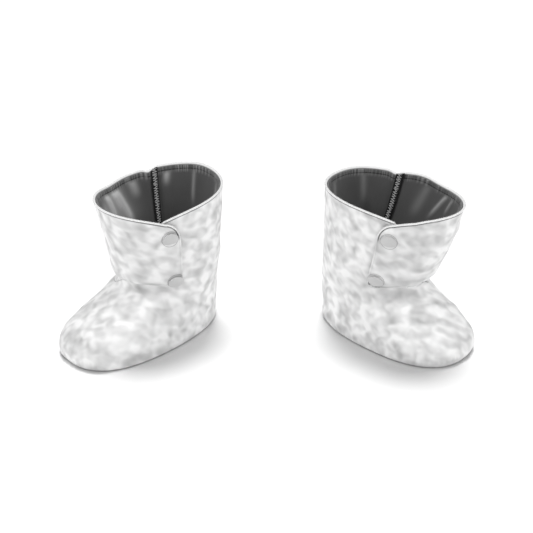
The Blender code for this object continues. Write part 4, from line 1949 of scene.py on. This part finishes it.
@dataclass
class SideSeam:
    """The overlocked seam allowance that stands inside the plain side of one cover, in mm."""

    form: CoverForm
    wardrobe: Wardrobe
    stitches: StitchNodes
    width: float = 7.0
    poke: float = 0.6
    rows: int = 90
    columns: int = 14
    close_columns: tuple[float, ...] = (0.0, 0.06, 0.2, 0.5)
    upright_height: float = 100.0
    lean_length: float = 30.0
    waver: float = 0.2
    waver_size: float = 5.0
    thread_steps: int = 60
    thread_start: float = 1.0
    thread_stop: float = 0.6
    thread_stand: float = 0.3
    overlock: StitchSizes = StitchSizes(
        pitch=1.15, length=0.55, width=5.0, height=0.5, slant=22.0, wander=26.0
    )

    def lean(self, heights: Array) -> Array:
        """How far the strip leans aside at some heights, in degrees."""
        return self.form.allowance_lean * (heights - self.upright_height) / self.lean_length

    def heights(self, angles: Array) -> Array:
        """Rows of heights from the ankle to just above the rim."""
        low, top = np.full(np.shape(angles), CLOTH.ankle), self.form.rim_height(angles) + self.poke
        return rows_between(low, top, self.rows, ROUND_OFFSETS, ROUND_OFFSETS)

    def make_strip(self) -> None:
        """Make the folded edge of the cloth."""
        half = CLOTH.degrees_for(self.width / 2.0)
        offsets = tuple(CLOTH.degrees_for(offset) for offset in self.close_columns)
        seam = self.form.seam_angle
        angles = rows_between(seam - half, seam + half, self.columns, offsets, offsets)
        heights = self.heights(angles)
        angles = angles + self.lean(heights)
        depth = CLOTH.allowance_depth + CLOTH.allowance_wall / 2.0
        grid = ClothGrid(lambda a, h: self.form.face(a, h, -depth), angles, heights)
        noise = SoftNoise(self.form.seed + 7)
        lift = self.waver * (1.0 + noise.at(grid.points, self.waver_size))
        nothing = np.zeros(len(lift))
        points, faces = grid.shell(CLOTH.allowance_wall, nothing, lift, nothing > 0.0)
        name = self.form.name + "_overlocked_edge"
        piece = new_piece(name, self.form, points, faces, self.wardrobe.overlocked)
        dress(piece, Slot.OVERLOCK, self.form.name + "_seam_allowance")
        # A sheet is stated as 10 mm wide or more.
        flat = (max(self.width * MM, 0.01), float(np.ptp(grid.heights)) * MM)

    def path(self) -> Path:
        """A line up the middle of the strip's inner face.

        Returns:
            The line.
        """
        seam = self.form.seam_angle
        top = float(self.form.rim_height(np.array(seam))) + self.poke - self.thread_stop
        heights = np.linspace(CLOTH.ankle + self.thread_start, top, self.thread_steps)
        angles = seam + self.lean(heights)
        depth = CLOTH.allowance_depth + CLOTH.allowance_wall + self.thread_stand
        return self.form.face(angles, heights, -depth), -self.form.outward(angles, heights)

    def make_thread(self) -> None:
        """Lay the overlock thread in a zigzag up the middle of the strip."""
        name = self.form.name + "_overlock_thread"
        thread = self.wardrobe.pale_thread
        piece = self.stitches.run(name, self.form, [self.path()], self.overlock, thread)
        dress(piece, Slot.OVERLOCK)


@dataclass
class EdgeStitching:
    """The stitches that hold the rolled edges and the hem of one cover, and the pile on its rim."""

    form: CoverForm
    wardrobe: Wardrobe
    stitches: StitchNodes
    plush: PlushShell
    lining: LiningShell
    pile: PileNodes
    outer: StitchSizes = StitchSizes(pitch=2.7, length=2.6, width=0.4, height=0.4)
    hem: StitchSizes = StitchSizes(pitch=3.2, length=2.3, width=0.5, height=0.45)
    pile_sizes: PileSizes = PileSizes()
    pile_insets: tuple[float, ...] = (0.1, 0.3, 0.6)
    step: float = 1.2
    seam_clear: float = 1.5
    lap_clear: float = 3.0
    lower_end: float = 34.0
    corner_steps: int = 24
    side_steps: int = 20

    def flap_edge(self, inset: float, trim: float, depth: float) -> Path:
        """A line inside the flap's free edge, from the seam along the rim and down to the instep.

        Args:
            inset: distance from the free edge, mm.
            trim: how far under the rim the cloth ends, mm.
            depth: how far under the outer face the line lies, mm.
        Returns:
            The line.
        """
        form = self.form
        turns = np.linspace(0.0, math.pi / 2.0, self.corner_steps)
        corner = form.corner_start + (CLOTH.corner_turn - CLOTH.degrees_for(inset)) * np.sin(turns)
        rounding = 1.0 - np.cos(turns)
        along = np.arange(form.seam_angle + self.seam_clear, form.corner_start, self.step)
        back = np.arange(form.corner_start, self.lower_end, -self.step)

        def rim(angles: Array) -> Array:
            """Height of the line where it follows the rim."""
            return form.rim_height(np.minimum(angles, form.crossing_angle)) - trim - inset

        high = rim(corner) - (CLOTH.corner_fall - inset) * rounding
        low = form.flap_low(corner) + inset + (CLOTH.low_corner_rise - inset) * rounding
        side = np.linspace(high[-1], low[-1], self.side_steps)[1:-1]
        angles = np.concatenate([along, corner, np.full(len(side), corner[-1]), corner[::-1], back[1:]])
        heights = np.concatenate([rim(along), high, side, low[::-1], form.flap_low(back[1:]) + inset])
        stand = form.flap_stand(angles, heights) - depth
        return form.face(angles, heights, stand), form.outward(angles, heights)

    def rim_and_corner(self, inset: float, depth: float) -> list[Path]:
        """The parts of the flap's line that show: the rim with the top corner, and a firm lower edge.

        Args:
            inset, depth: as flap_edge takes them.
        Returns:
            The parts.
        """
        points, outward = self.flap_edge(inset, 0.0, depth)
        top_snap, low_snap = self.form.snaps
        high = points[:, 2] > top_snap.height - 1.0
        low = points[:, 2] < low_snap.height - 1.0
        parts = [(points[high], outward[high])]
        if self.form.lower_edge_shows > 0.5:
            parts.append((points[low], outward[low]))
        return parts

    def back_edge(self, inset: float, trim: float, depth: float) -> Path:
        """A line under the rim of the shaft's back, from the crossing to the seam.

        Args:
            inset, trim, depth: as flap_edge takes them.
        Returns:
            The line.
        """
        form = self.form
        end = form.seam_angle + 360.0 - self.seam_clear
        angles = np.arange(form.under_angle + self.lap_clear, end, self.step)
        heights = form.rim_height(angles) - form.hidden_drop(angles) - trim - inset
        return form.face(angles, heights, -depth), form.outward(angles, heights)

    def make_pile(self) -> None:
        """Stand the pile's ends on the rolled edge, all round the rim."""
        middle = CLOTH.plush_wall / 2.0
        paths = []
        for inset in self.pile_insets:
            rim = self.rim_and_corner(inset, middle - inset)[0]
            for points, outward in (rim, self.back_edge(inset, 0.0, middle - inset)):
                directions = outward * (0.4 + inset) + np.array([0.0, 0.0, 1.0 - inset])
                paths.append((points, directions))
        name = self.form.name + "_rim_pile"
        piece = self.pile.run(name, self.form, paths, self.pile_sizes, self.wardrobe.pile)
        dress(piece, Slot.PLUSH)

    def make(self) -> None:
        """Stand the pile on the rim, and lay the stitches on the plush and on the lining."""
        self.make_pile()
        ditch = self.plush.ditch
        sunk = self.plush.ditch_depth + 0.02
        edges = self.rim_and_corner(ditch, sunk) + [self.back_edge(ditch, 0.0, sunk)]
        # The dark grey stitches also paint the shadow line of the ditch
        name = self.form.name + "_edge_stitches"
        piece = self.stitches.run(name, self.form, edges, self.outer, self.wardrobe.grey_thread)
        dress(piece, Slot.PLUSH)
        place = (self.lining.hem_line, CLOTH.hem_drop, CLOTH.lining_depth + CLOTH.lining_wall - 0.15)
        hems = [self.flap_edge(*place), self.back_edge(*place)]
        name = self.form.name + "_hem_stitches"
        piece = self.stitches.run(name, self.form, hems, self.hem, self.wardrobe.dark_thread)
        dress(piece, Slot.LINING)


@dataclass(frozen=True)
class Cap:
    """A snap's cap: a shallow dome with a bead round it, in mm and degrees.

    It stands some way out of the shaft's face, faces out, 1, or in, -1, and may lean forward.
    """

    node: str
    place: SnapPlace
    stand: float
    facing: float
    radius: float
    height: float
    lean: float = 0.0
    # Its bead as a part of its height, and the places beside the bead in widths of it
    bead_part: float = 0.24
    dome_end: float = 2.2
    valley: Pair = (1.6, 1.75)
    steps: int = 64

    def profile(self) -> list[Pair]:
        """Its outline, from the middle of its face to the middle of its back.

        Returns:
            Distances from the axis and heights, mm.
        """
        bead = self.bead_part * self.height
        turns = np.linspace(0.5, -0.5, 8) * math.pi
        edge = [(self.radius - bead + bead * math.cos(t), bead + bead * math.sin(t)) for t in turns]
        reach = self.radius - self.dome_end * bead
        fall = self.height - 2.0 * bead
        dome = [(reach * part, self.height - fall * part**2) for part in np.linspace(0.0, 1.0, 9)]
        away, level = self.valley
        return dome + [(self.radius - away * bead, level * bead)] + edge + [(0.0, 0.0)]

    def turned(self) -> tuple[list[Triple], Faces]:
        """Turn the profile about the upright axis.

        Returns:
            The points, m, and the faces.
        """
        profile = self.profile()
        points = [(0.0, 0.0, profile[0][1] * MM)]
        for distance, level in profile[1:-1]:
            for step in range(self.steps):
                angle = 2.0 * math.pi * step / self.steps
                x, y = distance * math.cos(angle) * MM, distance * math.sin(angle) * MM
                points.append((x, y, level * MM))
        points.append((0.0, 0.0, 0.0))
        faces: Faces = []
        last = len(points) - 1 - self.steps
        for step in range(self.steps):
            after = (step + 1) % self.steps
            faces.append((0, 1 + step, 1 + after))
            for start in range(1, last, self.steps):
                below = start + self.steps
                faces.append((start + step, below + step, below + after, start + after))
            faces.append((last + after, last + step, len(points) - 1))
        return points, faces

    def make(self, form: CoverForm, material: Material) -> None:
        """Stand it on the cloth.

        Args:
            form: the cover.
            material: its finish.
        """
        seat = form.to_pair(form.face(self.place.angle, self.place.height, self.stand))
        facing = form.snap_axis(self.place, CLOTH.cap_radius, self.lean) * self.facing
        turn = Vector(form.direction_to_pair(facing)).to_track_quat("Z", "Y").to_matrix().to_4x4()
        to_place = Matrix.Translation(seat) @ turn
        points, faces = self.turned()
        name = form.name + "_" + self.node + "_dome"
        mesh = bpy.data.meshes.new(name)
        mesh.from_pydata([to_place @ Vector(point) for point in points], [], faces)
        mesh.shade_smooth()
        mesh.materials.append(material)
        log.info("%s: %d faces", name, len(faces))
        dress(link_object(name, mesh), Slot.SNAP, form.name + "_" + self.node)


@dataclass
class SnapPair:
    """The two closed snaps of one cover, in mm: a cap on the flap and a back cap on the lap's lining."""

    form: CoverForm
    wardrobe: Wardrobe
    cap_height: float = 1.4
    cap_sink: float = 0.5
    back_radius: float = 6.0
    back_height: float = 1.4
    back_clear: float = 0.6
    seat_bend: float = 40.0

    def make(self) -> None:
        """Make the caps and give the hidden sockets their finish."""
        outside = CLOTH.lap_stand + CLOTH.gap - self.cap_sink
        hollow = self.back_radius**2 / (2.0 * self.seat_bend)
        inside = -(CLOTH.lining_depth + CLOTH.lining_wall) - CLOTH.gap - hollow - self.back_clear
        for place in self.form.snaps:
            snap = place.name + "_snap"
            cap = Cap(snap + "_cap", place, outside, 1.0, CLOTH.cap_radius, self.cap_height, CLOTH.cap_lean)
            back = Cap(snap + "_back", place, inside, -1.0, self.back_radius, self.back_height)
            for piece in (cap, back):
                piece.make(self.form, self.wardrobe.snap)
            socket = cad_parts[self.form.name + "_" + snap + "_socket"]
            socket.data.materials.clear()
            socket.data.materials.append(self.wardrobe.snap)


@dataclass(frozen=True)
class Lamp:
    """A soft light: its place and the side of its square, in metres, and its power in watts.

    A size of 0 makes a light that is as strong all over the floor, whose power is its strength.
    """

    name: str
    place: Triple
    power: float
    size: float = 0.0


@dataclass(frozen=True)
class Studio:
    """A plain pale floor, soft lights and the camera of the photograph, in metres and degrees."""

    floor_half: float = 6.0
    floor_colour: str = "#fbfbfb"
    sky_strength: float = 0.45
    above: Lamp = Lamp("light from above", (0.0, 0.42, 1.8), 2.12)
    above_angle: float = 17.0
    sides: tuple[Lamp, ...] = (
        Lamp("light from the left", (-1.0, -0.45, 1.3), 9.9, 0.5),
        Lamp("light from the right", (1.0, -0.45, 1.3), 9.2, 0.5),
    )
    camera_lens: float = 87.41
    camera_distance: float = 1.1
    camera_elevation: float = 28.0
    camera_target: Triple = (-0.0006, 0.0159, 0.055)

    def make_floor(self) -> Object:
        """Lay the floor under the soles.

        Returns:
            The floor.
        """
        half = self.floor_half
        mesh = bpy.data.meshes.new("floor")
        corners = [(-half, -half, 0.0), (half, -half, 0.0), (half, half, 0.0), (-half, half, 0.0)]
        mesh.from_pydata(corners, [], [(0, 1, 2, 3)])
        finish = {"Base Color": linear(self.floor_colour), "Roughness": 0.9, "Specular IOR Level": 0.1}
        mesh.materials.append(FinishNodes("pale matt floor").finish(finish))
        floor = link_object("floor", mesh)
        return floor

    def make_light(self, lamp: Lamp, reached: list[Object]) -> None:
        """Hang a light that faces the pair and reaches only some pieces, as flags beside a lamp do.

        Args:
            lamp: the light's sizes.
            reached: the pieces that it reaches.
        """
        data = bpy.data.lights.new(lamp.name, "AREA" if lamp.size > 0.0 else "SUN")
        data.energy = lamp.power
        if lamp.size > 0.0:
            data.shape = "SQUARE"
            data.size = lamp.size
        else:
            data.angle = math.radians(self.above_angle)
        light = link_object(lamp.name, data)
        light.location = lamp.place
        toward = Vector(self.camera_target) - Vector(lamp.place)
        light.rotation_euler = toward.to_track_quat("-Z", "Y").to_euler()
        group = bpy.data.collections.new(lamp.name + " reaches")
        for piece in reached:
            group.objects.link(piece)
        light.light_linking.receiver_collection = group

    def make_sky(self) -> None:
        """Surround the scene with an even white light."""
        world = bpy.data.worlds.new("even white light")
        world.use_nodes = True
        tree = world.node_tree
        tree.nodes.clear()
        white = {"Color": (1.0, 1.0, 1.0, 1.0), "Strength": self.sky_strength}
        sky = add_node(tree, "ShaderNodeBackground", white)
        add_node(tree, "ShaderNodeOutputWorld", {"Surface": sky.outputs[0]})
        bpy.context.scene.world = world

    def make_camera(self) -> None:
        """Set up the camera at the photograph's angle."""
        data = bpy.data.cameras.new("camera")
        data.lens = self.camera_lens
        data.sensor_width = 36.0
        camera = link_object("camera", data)
        down = math.radians(self.camera_elevation)
        back = Vector((0.0, -math.cos(down), math.sin(down)))
        camera.location = Vector(self.camera_target) + back * self.camera_distance
        camera.rotation_euler = (-back).to_track_quat("-Z", "Y").to_euler()
        bpy.context.scene.camera = camera

    def make(self) -> None:
        """Make the whole studio. The light from above reaches only the floor, and the others the pair."""
        pieces = [piece for piece in bpy.context.scene.objects if piece.type == "MESH"]
        floor = self.make_floor()
        self.make_sky()
        self.make_light(self.above, [floor])
        for lamp in self.sides:
            self.make_light(lamp, pieces)
        self.make_camera()
        bpy.context.scene.view_settings.view_transform = "Standard"


def main() -> None:
    """Build both covers and the studio."""
    logging.basicConfig(level=logging.INFO, format="%(message)s", stream=sys.stdout)
    wardrobe = Wardrobe.made()
    stitches = StitchNodes()
    pile = PileNodes()
    for form in (LEFT_FORM, RIGHT_FORM):
        plush = PlushShell(form, wardrobe)
        plush.make_sole()
        plush.make_upper()
        plush.make_flap()
        lining = LiningShell(form, wardrobe)
        lining.make_sole()
        lining.make_upper()
        lining.make_flap()
        seam = SideSeam(form, wardrobe, stitches)
        seam.make_strip()
        seam.make_thread()
        EdgeStitching(form, wardrobe, stitches, plush, lining, pile).make()
        SnapPair(form, wardrobe).make()
    Studio().make()


if __name__ == "__main__":
    main()
